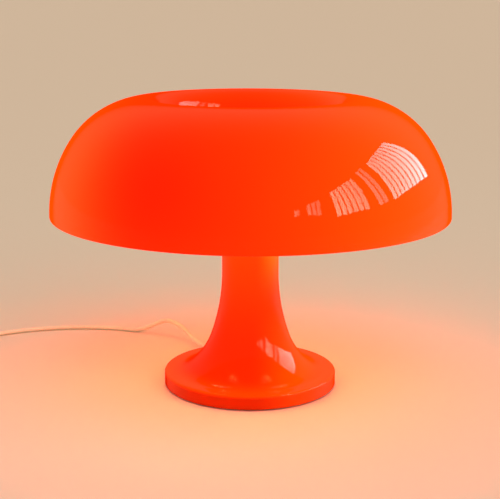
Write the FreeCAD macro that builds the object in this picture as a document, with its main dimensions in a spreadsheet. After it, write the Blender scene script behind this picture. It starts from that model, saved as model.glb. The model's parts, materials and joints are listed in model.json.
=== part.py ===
# Mushroom table lamp: a domed shade with a sunk centre on a trumpet foot, lit by four small bulbs.
# Millimetres. The origin is on the table under the middle of the foot, +Z is up and -Y faces the viewer.
import FreeCAD, Part
import math
import os

import Sketcher
from FreeCAD import Placement, Rotation, Vector

os.makedirs("parts", exist_ok=True)
DOC = FreeCAD.newDocument("mushroom_table_lamp")

# ---------------------------------------------------------------------------------------------
# Driving sizes, in millimetres and degrees
# ---------------------------------------------------------------------------------------------
SIZES = (
    # the shade, from its seat on the hub outwards
    ("shade_radius", 160.0),            # outer radius at the rim
    ("shade_wall", 2.5),
    ("shade_floor_radius", 25.0),       # flat floor of the sunk centre
    ("shade_hole_radius", 11.0),        # clears the nut on the hub's lid
    ("bowl_arc_radius", 46.0),          # the sunk centre's wall
    ("lip_arc_radius", 16.0),           # the curl from the crest into the sunk centre
    ("lip_turn", 75.0),
    ("crest_arc_radius", 60.0),
    ("crest_turn", 18.0),
    ("shoulder_arc_radius", 74.0),
    ("shoulder_turn", 38.0),            # the wall's arc takes what is left of a quarter turn
    # the foot and its stem, one moulding
    ("base_radius", 70.5),
    ("disc_ledge", 7.8),                # flat ring of the disc's top that the flare leaves free
    ("disc_height", 12.5),              # top of the disc above the table
    ("disc_rounding", 1.8),
    ("foot_gap", 1.2),                  # the moulding's lower edge above the table
    ("foot_edge_rounding", 0.6),
    ("foot_wall", 2.5),
    ("stem_radius", 23.0),
    ("stem_top", 152.4),
    ("stem_top_plate", 3.0),
    ("flare_start", 95.0),              # height where the straight stem starts to flare
    ("stem_arc_radius", 157.0),
    ("stem_arc_turn", 20.0),
    ("flare_turn", 32.0),               # the flare's two lower arcs take the height and width left
    # what closes and weights the foot
    ("pad_thickness", 1.5),
    ("pad_inset", 3.5),                 # from the disc's edge
    ("pad_width", 5.2),
    ("cover_thickness", 2.0),
    ("cover_clearance", 0.4),
    ("screw_inset", 12.5),              # of the cover screws, from the disc's edge
    ("boss_radius", 3.2),
    ("small_screw_radius", 1.4),
    ("small_screw_head_radius", 2.4),
    ("small_screw_head", 1.2),
    ("cover_screw_length", 8.0),
    ("thread_play", 0.05),
    ("ballast_radius", 26.0),
    ("ballast_top", 40.0),
    ("ballast_recess_radius", 11.0),
    ("ballast_recess_top", 12.5),
    ("rib_height", 20.0),
    ("rib_inner", 12.0),
    ("rib_thickness", 2.5),
    # the rod that clamps ballast, foot and hub together
    ("rod_radius", 4.0),
    ("rod_bottom", 4.2),
    ("rod_above_seat", 12.3),
    ("rod_clearance", 0.3),
    ("nut_circumradius", 7.5),
    ("nut_height", 5.5),
    ("washer_radius", 8.0),
    ("washer_thickness", 1.6),
    # the hub that carries the four lampholders
    ("hub_half_width", 24.0),
    ("hub_wall", 2.5),
    ("lid_thickness", 2.5),
    ("holder_flange_radius", 14.6),
    ("hub_margin", 0.4),                # between a flange and the hub's floor or lid
    ("holder_body_radius", 12.6),
    ("holder_hole_radius", 12.9),
    ("holder_front_radius", 13.6),
    ("holder_inner_end", 18.8),         # distances from the lamp's axis along a lampholder
    ("holder_front_end", 50.0),
    ("holder_flange_thickness", 2.0),
    ("ring_nut_thickness", 2.3),
    ("socket_radius", 7.8),
    ("socket_floor", 31.5),
    ("shell_thickness", 0.55),
    ("shell_length", 15.0),
    ("contact_head_radius", 4.0),
    ("contact_thickness", 0.8),
    ("contact_pin_radius", 1.5),
    # small round bulbs with a 14 mm screw cap
    ("cap_radius", 6.85),
    ("cap_tip_radius", 2.4),
    ("cap_flare_radius", 8.0),
    ("cap_length", 20.2),
    ("cap_flare_length", 2.0),
    ("globe_radius", 22.5),
    ("bulb_length", 76.2),
    ("neck_arc_radius", 12.0),
    ("glass_wall", 0.8),
    # the knob over the sunk centre
    ("knob_radius", 22.0),
    ("knob_edge", 2.5),
    ("knob_height", 12.5),
    ("knob_wall", 2.5),
    ("insert_radius", 7.0),
    ("insert_bottom", 5.8),
    ("insert_top", 10.4),
    # mains wiring
    ("cord_radius", 2.1),
    ("cord_azimuth", 118.0),            # where the cord leaves the foot, from +X towards +Y
    ("cord_exit_height", 6.75),
    ("boot_length", 15.5),              # outside the disc's edge
    ("boot_radius", 3.6),
    ("boot_tip_radius", 2.6),
    ("boot_neck_radius", 2.7),
    ("boot_collar_radius", 3.1),
    ("boot_collar_length", 2.2),
    ("boot_gap", 0.3),
    ("bore_play", 0.05),
    ("clamp_inset", 18.0),              # from the disc's edge
    ("clamp_length", 8.0),
    ("clamp_width", 18.0),
    ("clamp_top", 9.5),
    ("clamp_screw_spread", 12.0),
    ("block_clearance", 2.5),           # from the clamp to the terminal block
    ("block_length", 13.0),
    ("block_width", 16.0),
    ("block_height", 11.0),
    ("block_screw_spread", 8.0),
    ("block_screw_pitch", 7.0),
    ("block_screw_radius", 1.6),
    ("block_screw_length", 3.5),
    ("wire_radius", 1.0),
    ("wire_entry_height", 8.0),
    ("wire_ring_radius", 13.0),         # the rings of wire that pass behind the lampholders
    ("wire_ring_spread", 10.0),         # height between the two rings
    ("wire_ring_lead", 23.0),           # turn from the wire hole to where a ring starts
    ("wire_ring_span", 298.0),
    ("wire_bend_radius", 4.0),
    ("wire_hole_radius", 3.6),
    # in-line switch, its lower face on the table
    ("switch_width", 24.0),
    ("switch_length", 62.0),
    ("switch_height", 15.0),
    ("switch_corner", 5.0),
    ("switch_wall", 1.8),
    ("switch_post_radius", 3.2),
    ("switch_screw_inset", 6.0),
    ("rocker_radius", 10.0),
    ("rocker_width", 10.0),
    ("rocker_play", 0.3),
    ("rocker_crown", 3.7),
    ("rocker_dip", 2.6),
    ("rocker_drop", 2.5),
    ("rocker_tilt", 8.0),
    ("pivot_height", 12.0),
    ("pivot_radius", 1.0),
    ("lug_thickness", 2.2),
    ("lug_height", 5.0),
    ("terminal_height", 4.0),
    # the put-away length of cord and its two-pin plug
    ("coil_outer_radius", 34.0),        # of the centreline
    ("coil_pitch", 4.7),
    ("coil_layer_step", 4.75),
    ("plug_width", 26.0),
    ("plug_back_width", 11.0),
    ("plug_length", 35.0),
    ("plug_shoulder", 22.0),
    ("plug_height", 14.0),
    ("plug_rounding", 2.0),
    ("plug_boot_length", 14.0),
    ("plug_boot_radius", 4.6),
    ("plug_boot_tip_radius", 2.9),
    ("pin_radius", 2.0),
    ("pin_length", 18.0),
    ("pin_tip_length", 1.0),
    ("pin_tip_radius", 1.3),
    ("pin_root_radius", 1.6),
    ("pin_depth", 12.0),
    ("pin_spread", 18.6),
)

COVER_SCREW_COUNT = 3
RIB_COUNT = 4
HOLDER_COUNT = 4
FIRST_HOLDER_AZIMUTH = 45.0
FIRST_RIB_AZIMUTH = 73.0
FIRST_SCREW_AZIMUTH = 58.0
COIL_TURNS_PER_LAYER = 4
RING_ARCS = 3
SIDE_COUNT = 6
QUARTERS = 4
HALF = 0.5
TINY = 1e-6

# The cord's hand-chosen routes. The first lies over the table in an arch, then on it to the switch.
LEAD_ROUTE = (
    (-46.6, 87.6, 6.75),
    (-52.5, 101.5, 5.4),
    (-62.5, 114.5, 13.6),
    (-77.5, 124.5, 18.2),
    (-92.0, 133.2, 9.8),
    (-105.5, 140.0, 2.3),
    (-127.0, 148.0, 2.1),
    (-159.0, 152.0, 2.1),
    (-195.0, 147.0, 2.1),
    (-226.0, 135.0, 2.1),
    (-248.0, 119.0, 2.2),
    (-259.5, 103.0, 4.6),
    (-262.0, 88.0, 7.5),
    (-262.0, 74.0, 7.5),
)
TAIL_ROUTE = (
    (-262.0, 12.0, 7.5),
    (-262.0, 0.0, 7.5),
    (-261.4, -13.0, 4.8),
    (-262.3, -27.0, 2.2),
    (-262.0, -41.0, 2.1),
    (-262.0, -53.8, 2.1),
)
END_ROUTE = (
    (-330.0, -53.8, 6.85),
    (-330.0, -40.0, 6.85),
    (-330.6, -25.0, 4.0),
    (-332.0, -9.0, 2.3),
    (-332.6, 6.0, 4.4),
    (-332.0, 20.0, 7.0),
    (-332.0, 33.0, 7.0),
)
COIL_CENTRE = (-296.0, -58.0)


# ---------------------------------------------------------------------------------------------
# Sizes that carry their sheet formula with them
# ---------------------------------------------------------------------------------------------
class Dim:
    """A number together with the sheet formula that gives it."""

    def __init__(self, number, text=None):
        self.number = float(number)
        self.text = text if text else repr(float(number))

    def join(self, other, sign, number, flip=False):
        left, right = (other, self) if flip else (self, other)
        return Dim(number, "(%s %s %s)" % (left.text, sign, right.text))

    def __add__(self, other):
        other = dim(other)
        return self.join(other, "+", self.number + other.number)

    def __sub__(self, other):
        other = dim(other)
        return self.join(other, "-", self.number - other.number)

    def __mul__(self, other):
        other = dim(other)
        return self.join(other, "*", self.number * other.number)

    def __truediv__(self, other):
        other = dim(other)
        return self.join(other, "/", self.number / other.number)

    def __rsub__(self, other):
        other = dim(other)
        return self.join(other, "-", other.number - self.number, flip=True)

    __radd__ = __add__
    __rmul__ = __mul__


def dim(value):
    return value if isinstance(value, Dim) else Dim(value)


def sin(angle):
    return Dim(math.sin(math.radians(angle.number)), "sin(%s)" % angle.text)


def cos(angle):
    return Dim(math.cos(math.radians(angle.number)), "cos(%s)" % angle.text)


def root(size):
    return Dim(math.sqrt(size.number), "sqrt(%s)" % size.text)


def new_sheet(name):
    return DOC.addObject("Spreadsheet::Sheet", name)


SHEET = new_sheet("Sizes")
WORKED = new_sheet("Worked")
WORKED_ROWS = []


class Sheet:
    """The driving sizes by name."""


d = Sheet()
for row, (alias, number) in enumerate(SIZES, start=1):
    SHEET.set("A%d" % row, alias)
    SHEET.set("B%d" % row, str(number))
    SHEET.setAlias("B%d" % row, alias)
    setattr(d, alias, Dim(number, "Sizes." + alias))


def worked(alias, size):
    """Keep a worked-out size in the second sheet, so that formulas stay short."""
    WORKED_ROWS.append(alias)
    row = len(WORKED_ROWS)
    WORKED.set("A%d" % row, alias)
    WORKED.set("B%d" % row, "=" + size.text)
    WORKED.setAlias("B%d" % row, alias)
    return Dim(size.number, "Worked." + alias)


# ---------------------------------------------------------------------------------------------
# Ways to make a piece
# ---------------------------------------------------------------------------------------------
PIECES = {}
CUTS = []
ZERO = dim(0)
LEFT = 1
RIGHT = -1


def bind(thing, **sizes):
    for name, size in sizes.items():
        thing.setExpression(name, dim(size).text)
    return thing


def place(thing, at=(0, 0, 0), rotation=Rotation()):
    at = [dim(value) for value in at]
    thing.Placement = Placement(Vector(*[value.number for value in at]), rotation)
    for axis, value in zip("xyz", at):
        thing.setExpression("Placement.Base." + axis, value.text)
    return thing


def keep(label, thing):
    """Name a finished piece."""
    thing.Label = label
    PIECES[label] = thing
    return thing


def cylinder(name, radius, height, at=(0, 0, 0), rotation=Rotation()):
    thing = DOC.addObject("Part::Cylinder", name)
    return place(bind(thing, Radius=radius, Height=height), at, rotation)


def cone(name, radius, end_radius, height, at=(0, 0, 0), rotation=Rotation()):
    thing = DOC.addObject("Part::Cone", name)
    return place(bind(thing, Radius1=radius, Radius2=end_radius, Height=height), at, rotation)


def box(name, length, width, height, at=(0, 0, 0), rotation=Rotation()):
    thing = DOC.addObject("Part::Box", name)
    return place(bind(thing, Length=length, Width=width, Height=height), at, rotation)


def fuse(name, shapes):
    thing = DOC.addObject("Part::MultiFuse", name)
    thing.Shapes = shapes
    return thing


def group(name, shapes):
    """Identical loose pieces that share one name."""
    thing = DOC.addObject("Part::Compound", name)
    thing.Links = shapes
    return thing


def cut(name, base, tools):
    """Take every tool away from the base, and remember to check that each took something."""
    for index, tool in enumerate(tools, start=1):
        thing = DOC.addObject("Part::Cut", name if index == len(tools) else "%s_cut_%d" % (name, index))
        thing.Base = base
        thing.Tool = tool
        CUTS.append((thing, base))
        base = thing
    return base


def origin_plane(body, role):
    return next(feature for feature in body.Origin.OriginFeatures if feature.Role == role)


def arc_centre(start, end, radius, side):
    """Centre of an arc from start to end that lies on the given side of the way travelled."""
    middle = (start + end) * HALF
    chord = end - start
    rise = math.sqrt(max(radius ** 2 - (chord.Length * HALF) ** 2, 0.0))
    normal = Vector(-chord.y, chord.x, 0).normalize()
    return middle + normal * (rise * side)


def draw(body, name, plane, outline):
    """A closed sketch. Each step is (x, y) for a line, or (x, y, radius, side) for an arc, to that point."""
    sketch = body.newObject("Sketcher::SketchObject", name)
    sketch.AttachmentSupport = [(origin_plane(body, plane), "")]
    sketch.MapMode = "FlatFace"
    steps = [tuple(dim(value) for value in step[:3]) + tuple(step[3:]) for step in outline]
    points = [Vector(step[0].number, step[1].number, 0) for step in steps]
    geometry = []
    ends = []
    for index, step in enumerate(steps):
        start, end = points[index - 1], points[index]
        if len(step) == 2:
            geometry.append(Part.LineSegment(start, end))
            ends.append((1, 2))
            continue
        centre = arc_centre(start, end, step[2].number, step[3])
        angles = [math.atan2(point.y - centre.y, point.x - centre.x) for point in (start, end)]
        if step[3] == RIGHT:
            angles.reverse()
        if angles[1] < angles[0]:
            angles[1] += 2 * math.pi
        circle = Part.Circle(centre, Vector(0, 0, 1), step[2].number)
        geometry.append(Part.ArcOfCircle(circle, *angles))
        ends.append((1, 2) if step[3] == LEFT else (2, 1))
    sketch.addGeometry(geometry, False)
    constraints = []
    formulas = []

    def hold(kind, *place_and_value, size=None):
        if size is not None:
            formulas.append((len(constraints), size))
            place_and_value += (size.number,)
        constraints.append(Sketcher.Constraint(kind, *place_and_value))

    for index, step in enumerate(steps):
        following = (index + 1) % len(steps)
        end = (index, ends[index][1])
        hold("Coincident", *end, following, ends[following][0])
        for kind, axis, size in (("DistanceX", -2, step[0]), ("DistanceY", -1, step[1])):
            if abs(size.number) < TINY:
                hold("PointOnObject", *end, axis)
            else:
                hold(kind, -1, 1, *end, size=size)
        if len(step) == 4:
            hold("Radius", index, size=step[2])
    sketch.addConstraint(constraints)
    for index, size in formulas:
        sketch.setExpression("Constraints[%d]" % index, size.text)
    return sketch


def turned(name, outline, at=(0, 0, 0), rotation=Rotation()):
    """A piece turned about its own Z axis from (radius, height) steps."""
    body = DOC.addObject("PartDesign::Body", name)
    sketch = draw(body, name + "_outline", "XZ_Plane", outline)
    feature = body.newObject("PartDesign::Revolution", name + "_turned")
    feature.Profile = sketch
    feature.ReferenceAxis = (sketch, ["V_Axis"])
    feature.Angle = 360
    return place(body, at, rotation)


def padded(name, outline, height, at=(0, 0, 0), rotation=Rotation(), rounding=None):
    """A piece padded up from an outline on its own XY plane, its edges rounded where asked."""
    body = DOC.addObject("PartDesign::Body", name)
    feature = body.newObject("PartDesign::Pad", name + "_padded")
    sketch = draw(body, name + "_outline", "XY_Plane", outline)
    feature.Profile = sketch
    bind(feature, Length=height)
    body.Tip = feature
    if rounding is not None:
        DOC.recompute()
        fillet = body.newObject("PartDesign::Fillet", name + "_rounded")
        fillet.Base = (feature, [""])
        fillet.UseAllEdges = True
        bind(fillet, Radius=rounding)
    return place(body, at, rotation)


def rounded_rectangle(width, length, corner):
    """Outline with its lower left corner at the origin."""
    right, back = width - corner, length - corner
    return [
        (corner, ZERO), (right, ZERO), (width, corner, corner, LEFT), (width, back),
        (right, length, corner, LEFT), (corner, length), (ZERO, back, corner, LEFT), (ZERO, corner),
    ][1:] + [(corner, ZERO, corner, LEFT)]


def about_axis(azimuth):
    return Rotation(Vector(0, 0, 1), azimuth)


def outwards(azimuth):
    """Turns a piece's own Z axis to point away from the lamp's axis, level, at an azimuth."""
    return about_axis(azimuth) * Rotation(Vector(0, 1, 0), 90)


def around(distance, sideways, azimuth):
    """World x and y of a point given by its distance out and sideways at an azimuth."""
    return (distance * cos(azimuth) - sideways * sin(azimuth),
            distance * sin(azimuth) + sideways * cos(azimuth))


def nut(name, bottom):
    outside = bind(DOC.addObject("Part::Prism", name + "_hexagon"),
                   Circumradius=d.nut_circumradius, Height=d.nut_height)
    outside.Polygon = SIDE_COUNT
    place(outside, (0, 0, bottom))
    bore = cylinder(name + "_bore", d.rod_radius + d.thread_play, d.nut_height, (0, 0, bottom))
    return cut(name, outside, [bore])


def washer(name, bottom):
    outside = cylinder(name + "_disc", d.washer_radius, d.washer_thickness, (0, 0, bottom))
    bore = cylinder(name + "_bore", d.rod_radius + d.rod_clearance, d.washer_thickness, (0, 0, bottom))
    return cut(name, outside, [bore])


def small_screw(name, at_xy, head_side, shank_end, head_up=False):
    """A pan-head screw. head_side is the height of the face that the head bears on."""
    x, y = at_xy
    if head_up:
        head = cylinder(name + "_head", d.small_screw_head_radius, d.small_screw_head, (x, y, head_side))
        shank = cylinder(name + "_shank", d.small_screw_radius, head_side - shank_end, (x, y, shank_end))
    else:
        head_bottom = head_side - d.small_screw_head
        head = cylinder(name + "_head", d.small_screw_head_radius, d.small_screw_head, (x, y, head_bottom))
        shank = cylinder(name + "_shank", d.small_screw_radius, shank_end - head_side, (x, y, head_side))
    return fuse(name, [head, shank])


# ---------------------------------------------------------------------------------------------
# Cord and wire: straight runs joined by tangent arcs, and a coil on biarcs
# ---------------------------------------------------------------------------------------------
RUN_SHARE = 0.45
VOLUME_TOLERANCE = 0.01
NUDGE = 1e-4                            # of an angle, to find a slope
SPOTS_PER_DIAMETER = 4                  # where the coil's gaps are measured
NEIGHBOUR_SPAN = 5                      # diameters along the coil that count as the same stretch


def line(start, end):
    return Part.LineSegment(start, end).toShape()


def rounded_route(points):
    """Edges along straight runs, each corner an arc as large as its two runs allow."""
    points = [Vector(*point) for point in points]
    edges = []
    radii = []
    reached = points[0]
    for before, corner, after in zip(points, points[1:], points[2:]):
        back = (before - corner).normalize()
        ahead = (after - corner).normalize()
        turn = math.pi - back.getAngle(ahead)
        shorter = min((before - corner).Length, (after - corner).Length)
        radius = RUN_SHARE * shorter / math.tan(turn * HALF)
        arc_start = corner + back * (RUN_SHARE * shorter)
        arc_end = corner + ahead * (RUN_SHARE * shorter)
        inwards = (back + ahead).normalize()
        middle = corner + inwards * (radius / math.cos(turn * HALF) - radius)
        edges.append(line(reached, arc_start))
        edges.append(Part.Arc(arc_start, middle, arc_end).toShape())
        radii.append(radius)
        reached = arc_end
    edges.append(line(reached, points[-1]))
    return edges, radii


def swept(path_edges, radius, direction):
    path = Part.Wire(path_edges)
    start = path_edges[0].firstVertex(True).Point
    ring = Part.Wire(Part.Circle(start, direction, radius).toShape())
    return path.makePipeShell([ring], True, False), path.Length


def tube(label, path_edges, radius, direction):
    """One solid along a path, its volume compared with its section times its length."""
    solid, length = swept(path_edges, radius, direction)
    section = math.pi * radius ** 2
    ratio = solid.Volume / (section * length)
    print("%s: length %.1f mm, volume ratio %.4f" % (label, length, ratio))
    if abs(ratio - 1) > VOLUME_TOLERANCE:
        raise RuntimeError("the sweep of %s went wrong" % label)
    thing = DOC.addObject("Part::Feature", label)
    thing.Shape = solid
    keep(label, thing)
    return length


def cord(label, points):
    edges, radii = rounded_route(points)
    print("%s: arc radii %s mm" % (label, ", ".join("%.0f" % radius for radius in radii)))
    direction = Vector(*points[1]) - Vector(*points[0])
    return tube(label, edges, d.cord_radius.number, direction)


def biarc(start, start_way, end, end_way):
    """Two tangent arcs from one directed point to another."""
    across = end - start
    ways = start_way + end_way
    spread = 2 * (1 - start_way.dot(end_way))
    along = across.dot(ways)
    reach = (math.sqrt(along ** 2 + spread * across.dot(across)) - along) / spread
    first = start + start_way * reach
    last = end - end_way * reach
    joint = (first + last) * HALF
    edges = []
    for begin, corner, finish in ((start, first, joint), (joint, last, end)):
        chord = (finish - begin).Length
        to_middle = ((begin + finish) * HALF - corner)
        half_angle = math.asin(min(chord * HALF / reach, 1.0))
        radius = reach * math.tan(half_angle)
        sagitta = radius - math.sqrt(max(radius ** 2 - (chord * HALF) ** 2, 0.0))
        middle = (begin + finish) * HALF - to_middle.normalize() * sagitta
        edges.append(Part.Arc(begin, middle, finish).toShape())
    return edges


# ---------------------------------------------------------------------------------------------
# Worked-out sizes
# ---------------------------------------------------------------------------------------------
QUARTER_TURN = 90
cover_bottom = worked("cover_bottom", d.pad_thickness + ZERO)
cover_top = worked("cover_top", d.pad_thickness + d.cover_thickness)
disc_inner_radius = worked("disc_inner_radius", d.base_radius - d.foot_wall)
toe_foot_radius = worked("toe_foot_radius", d.base_radius - d.disc_ledge)
screw_circle = worked("screw_circle", d.base_radius - d.screw_inset)
boot_end = worked("boot_end", d.base_radius + d.boot_length)
clamp_centre = worked("clamp_centre", d.base_radius - d.clamp_inset)
clamp_start = worked("clamp_start", clamp_centre - d.clamp_length * HALF)
block_outer = worked("block_outer", clamp_start - d.block_clearance)
block_inner = worked("block_inner", block_outer - d.block_length)
hub_height = worked("hub_height", d.hub_wall + 2 * (d.holder_flange_radius + d.hub_margin))
holder_height = worked("holder_height",
                       d.stem_top + d.hub_wall + d.hub_margin + d.holder_flange_radius)
lid_bottom = worked("lid_bottom", d.stem_top + hub_height)
seat_height = worked("seat_height", lid_bottom + d.lid_thickness)
shade_floor_top = worked("shade_floor_top", seat_height + d.shade_wall)


# ---------------------------------------------------------------------------------------------
# The moulded foot and stem, and what is inside them
# ---------------------------------------------------------------------------------------------
def cover_screw_spot(index):
    return around(screw_circle, ZERO, dim(FIRST_SCREW_AZIMUTH + 360.0 * index / COVER_SCREW_COUNT))


def flare_steps(depth):
    """The flare from its foot up to the straight stem, at a depth under the surface.

    The stem's arc is given. The two arcs below it take what is left of the height down to the disc and of the
    width out to the ledge, each in its own share of the turn.
    """
    low = d.stem_arc_turn
    steep = d.stem_arc_turn + d.flare_turn
    arc_1_r, arc_1_z, arc_2_r, arc_2_z, flare_arc, toe_arc = FLARE
    return [
        (arc_2_r - depth * cos(steep), arc_2_z - depth * sin(steep), toe_arc + depth),
        (arc_1_r - depth * cos(low), arc_1_z - depth * sin(low), flare_arc + depth),
        (d.stem_radius - depth, d.flare_start, d.stem_arc_radius + depth),
    ]


def work_out_flare():
    low = d.stem_arc_turn
    steep = d.stem_arc_turn + d.flare_turn
    arc_1_r = worked("stem_arc_foot_radius", d.stem_radius + d.stem_arc_radius * (1 - cos(low)))
    arc_1_z = worked("stem_arc_foot_height", d.flare_start - d.stem_arc_radius * sin(low))
    width = worked("flare_width_left", toe_foot_radius - arc_1_r)
    height = worked("flare_height_left", arc_1_z - d.disc_height)
    flare_out = worked("flare_out_share", cos(low) - cos(steep))
    flare_down = worked("flare_down_share", sin(steep) - sin(low))
    toe_out = worked("toe_out_share", cos(steep) + ZERO)
    toe_down = worked("toe_down_share", 1 - sin(steep))
    spread = worked("flare_spread", flare_down * toe_out - toe_down * flare_out)
    flare_arc = worked("flare_arc_radius", (height * toe_out - toe_down * width) / spread)
    toe_arc = worked("toe_arc_radius", (flare_down * width - flare_out * height) / spread)
    arc_2_r = worked("flare_foot_radius", arc_1_r + flare_arc * flare_out)
    arc_2_z = worked("flare_foot_height", arc_1_z - flare_arc * flare_down)
    print("flare's lower arcs: %.3f and %.3f mm" % (flare_arc.number, toe_arc.number))
    return arc_1_r, arc_1_z, arc_2_r, arc_2_z, flare_arc, toe_arc


FLARE = work_out_flare()


def make_foot_inside():
    """The screw bosses and the ribs under the stem, which end in the middle of the moulding's wall."""
    middle = d.foot_wall * HALF
    filling = turned("foot_filling", [
        (ZERO, cover_top),
        (disc_inner_radius + middle, cover_top),
        (disc_inner_radius + middle, d.disc_height - middle),
        (toe_foot_radius, d.disc_height - middle),
        *[step + (RIGHT,) for step in flare_steps(middle)],
        (d.stem_radius - middle, d.stem_top - middle),
        (ZERO, d.stem_top - middle),
    ])
    # Each boss and rib is made too long, and what it shares with the filling is kept.
    inside = []
    for index in range(COVER_SCREW_COUNT):
        inside.append(cylinder("foot_boss", d.boss_radius, d.disc_height + d.boss_radius,
                               (*cover_screw_spot(index), cover_top)))
    for index in range(RIB_COUNT):
        azimuth = FIRST_RIB_AZIMUTH + 360.0 * index / RIB_COUNT
        x, y = around(d.rib_inner, d.rib_thickness * -HALF, dim(azimuth))
        inside.append(box("foot_rib", d.base_radius, d.rib_thickness, d.rib_height, (x, y, d.ballast_top),
                          about_axis(azimuth)))
    trimmed = DOC.addObject("Part::MultiCommon", "foot_inside")
    trimmed.Shapes = [group("foot_inside_untrimmed", inside), filling]
    return trimmed


def make_foot_stem():
    wall = d.foot_wall
    toe, flare, stem = flare_steps(wall)
    outline = [
        (disc_inner_radius, d.foot_gap),
        (d.base_radius - d.foot_edge_rounding, d.foot_gap),
        (d.base_radius, d.foot_gap + d.foot_edge_rounding, d.foot_edge_rounding, LEFT),
        (d.base_radius, d.disc_height - d.disc_rounding),
        (d.base_radius - d.disc_rounding, d.disc_height, d.disc_rounding, LEFT),
        (toe_foot_radius, d.disc_height),
        *[step + (RIGHT,) for step in flare_steps(ZERO)],
        (d.stem_radius, d.stem_top),
        (d.rod_radius + d.rod_clearance, d.stem_top),
        (d.rod_radius + d.rod_clearance, d.stem_top - d.stem_top_plate),
        (d.stem_radius - wall, d.stem_top - d.stem_top_plate),
        stem[:2],
        (*flare[:2], stem[2], LEFT),
        (*toe[:2], flare[2], LEFT),
        (toe_foot_radius, d.disc_height - wall, toe[2], LEFT),
        (disc_inner_radius, d.disc_height - wall),
    ]
    moulding = fuse("foot_moulding", [turned("foot_shell", outline), make_foot_inside()])
    holes = []
    for index in range(COVER_SCREW_COUNT):
        pilot_top = cover_bottom + d.cover_screw_length
        holes.append(cylinder("boss_pilot", d.small_screw_radius + d.thread_play, pilot_top - cover_top,
                              (*cover_screw_spot(index), cover_top)))
    exit_x, exit_y = around(screw_circle, ZERO, d.cord_azimuth)
    holes.append(cylinder("cord_exit", d.boot_neck_radius + d.bore_play, d.base_radius,
                          (exit_x, exit_y, d.cord_exit_height), outwards(d.cord_azimuth.number)))
    holes.append(cylinder("stem_wire_hole", d.wire_hole_radius, d.stem_top_plate,
                          (0, d.wire_ring_radius, d.stem_top - d.stem_top_plate)))
    keep("foot_stem", cut("foot_stem", moulding, holes))


def make_base():
    pad_radius = d.base_radius - d.pad_inset
    pad = cut("base_pad", cylinder("pad_disc", pad_radius, d.pad_thickness),
              [cylinder("pad_middle", pad_radius - d.pad_width, d.pad_thickness)])
    keep("base_pad", pad)

    cover = cylinder("cover_plate", disc_inner_radius - d.cover_clearance, d.cover_thickness,
                     (0, 0, cover_bottom))
    holes = []
    screws = []
    for index in range(COVER_SCREW_COUNT):
        spot = cover_screw_spot(index)
        holes.append(cylinder("cover_hole", d.small_screw_radius + d.rod_clearance, d.cover_thickness,
                              (*spot, cover_bottom)))
        tip = cover_bottom + d.cover_screw_length - d.rod_clearance
        screws.append(small_screw("cover_screw", spot, cover_bottom, tip))
    for side in (-HALF, HALF):
        spot = around(clamp_centre, d.clamp_screw_spread * side, d.cord_azimuth)
        holes.append(cylinder("clamp_pilot", d.small_screw_radius + d.thread_play, d.cover_thickness,
                              (*spot, cover_bottom)))
    keep("bottom_cover", cut("bottom_cover", cover, holes))
    keep("cover_screws", group("cover_screws", screws))

    slug = cylinder("ballast_slug", d.ballast_radius, d.ballast_top - cover_top, (0, 0, cover_top))
    recess = cylinder("ballast_recess", d.ballast_recess_radius, d.ballast_recess_top - cover_top,
                      (0, 0, cover_top))
    bore = cylinder("ballast_bore", d.rod_radius + d.rod_clearance, d.ballast_top, (0, 0, cover_top))
    keep("ballast_weight", cut("ballast_weight", slug, [recess, bore]))


def make_rod():
    rod_top = seat_height + d.rod_above_seat
    keep("tie_rod", cylinder("tie_rod", d.rod_radius, rod_top - d.rod_bottom, (0, 0, d.rod_bottom)))
    low_washer = d.ballast_recess_top - d.washer_thickness
    keep("rod_bottom_washer", washer("rod_bottom_washer", low_washer))
    keep("rod_bottom_nut", nut("rod_bottom_nut", low_washer - d.nut_height))
    keep("rod_top_washer", washer("rod_top_washer", seat_height))
    keep("rod_top_nut", nut("rod_top_nut", seat_height + d.washer_thickness))


# ---------------------------------------------------------------------------------------------
# The hub, its lampholders and the bulbs
# ---------------------------------------------------------------------------------------------
def make_hub():
    width = 2 * d.hub_half_width
    inside = d.hub_half_width - d.hub_wall
    corner_x, corner_y = around(d.hub_half_width * -1, d.hub_half_width * -1, dim(FIRST_HOLDER_AZIMUTH))
    hollow_x, hollow_y = around(inside * -1, inside * -1, dim(FIRST_HOLDER_AZIMUTH))
    turn = about_axis(FIRST_HOLDER_AZIMUTH)
    block = box("hub_block", width, width, hub_height, (corner_x, corner_y, d.stem_top), turn)
    tools = [
        box("hub_hollow", 2 * inside, 2 * inside, hub_height, (hollow_x, hollow_y, d.stem_top + d.hub_wall),
            turn),
        cylinder("hub_rod_hole", d.rod_radius + d.rod_clearance, d.hub_wall, (0, 0, d.stem_top)),
        cylinder("hub_wire_hole", d.wire_hole_radius, d.hub_wall, (0, d.wire_ring_radius, d.stem_top)),
    ]
    for index in range(HOLDER_COUNT // 2):
        azimuth = FIRST_HOLDER_AZIMUTH + 360.0 * index / HOLDER_COUNT
        x, y = around(width * -1, ZERO, dim(azimuth))
        tools.append(cylinder("holder_hole", d.holder_hole_radius, 2 * width, (x, y, holder_height),
                              outwards(azimuth)))
    keep("lampholder_hub", cut("lampholder_hub", block, tools))
    lid = box("lid_plate", width, width, d.lid_thickness, (corner_x, corner_y, lid_bottom), turn)
    lid_hole = cylinder("lid_hole", d.rod_radius + d.rod_clearance, d.lid_thickness, (0, 0, lid_bottom))
    keep("hub_lid", cut("hub_lid", lid, [lid_hole]))


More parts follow.
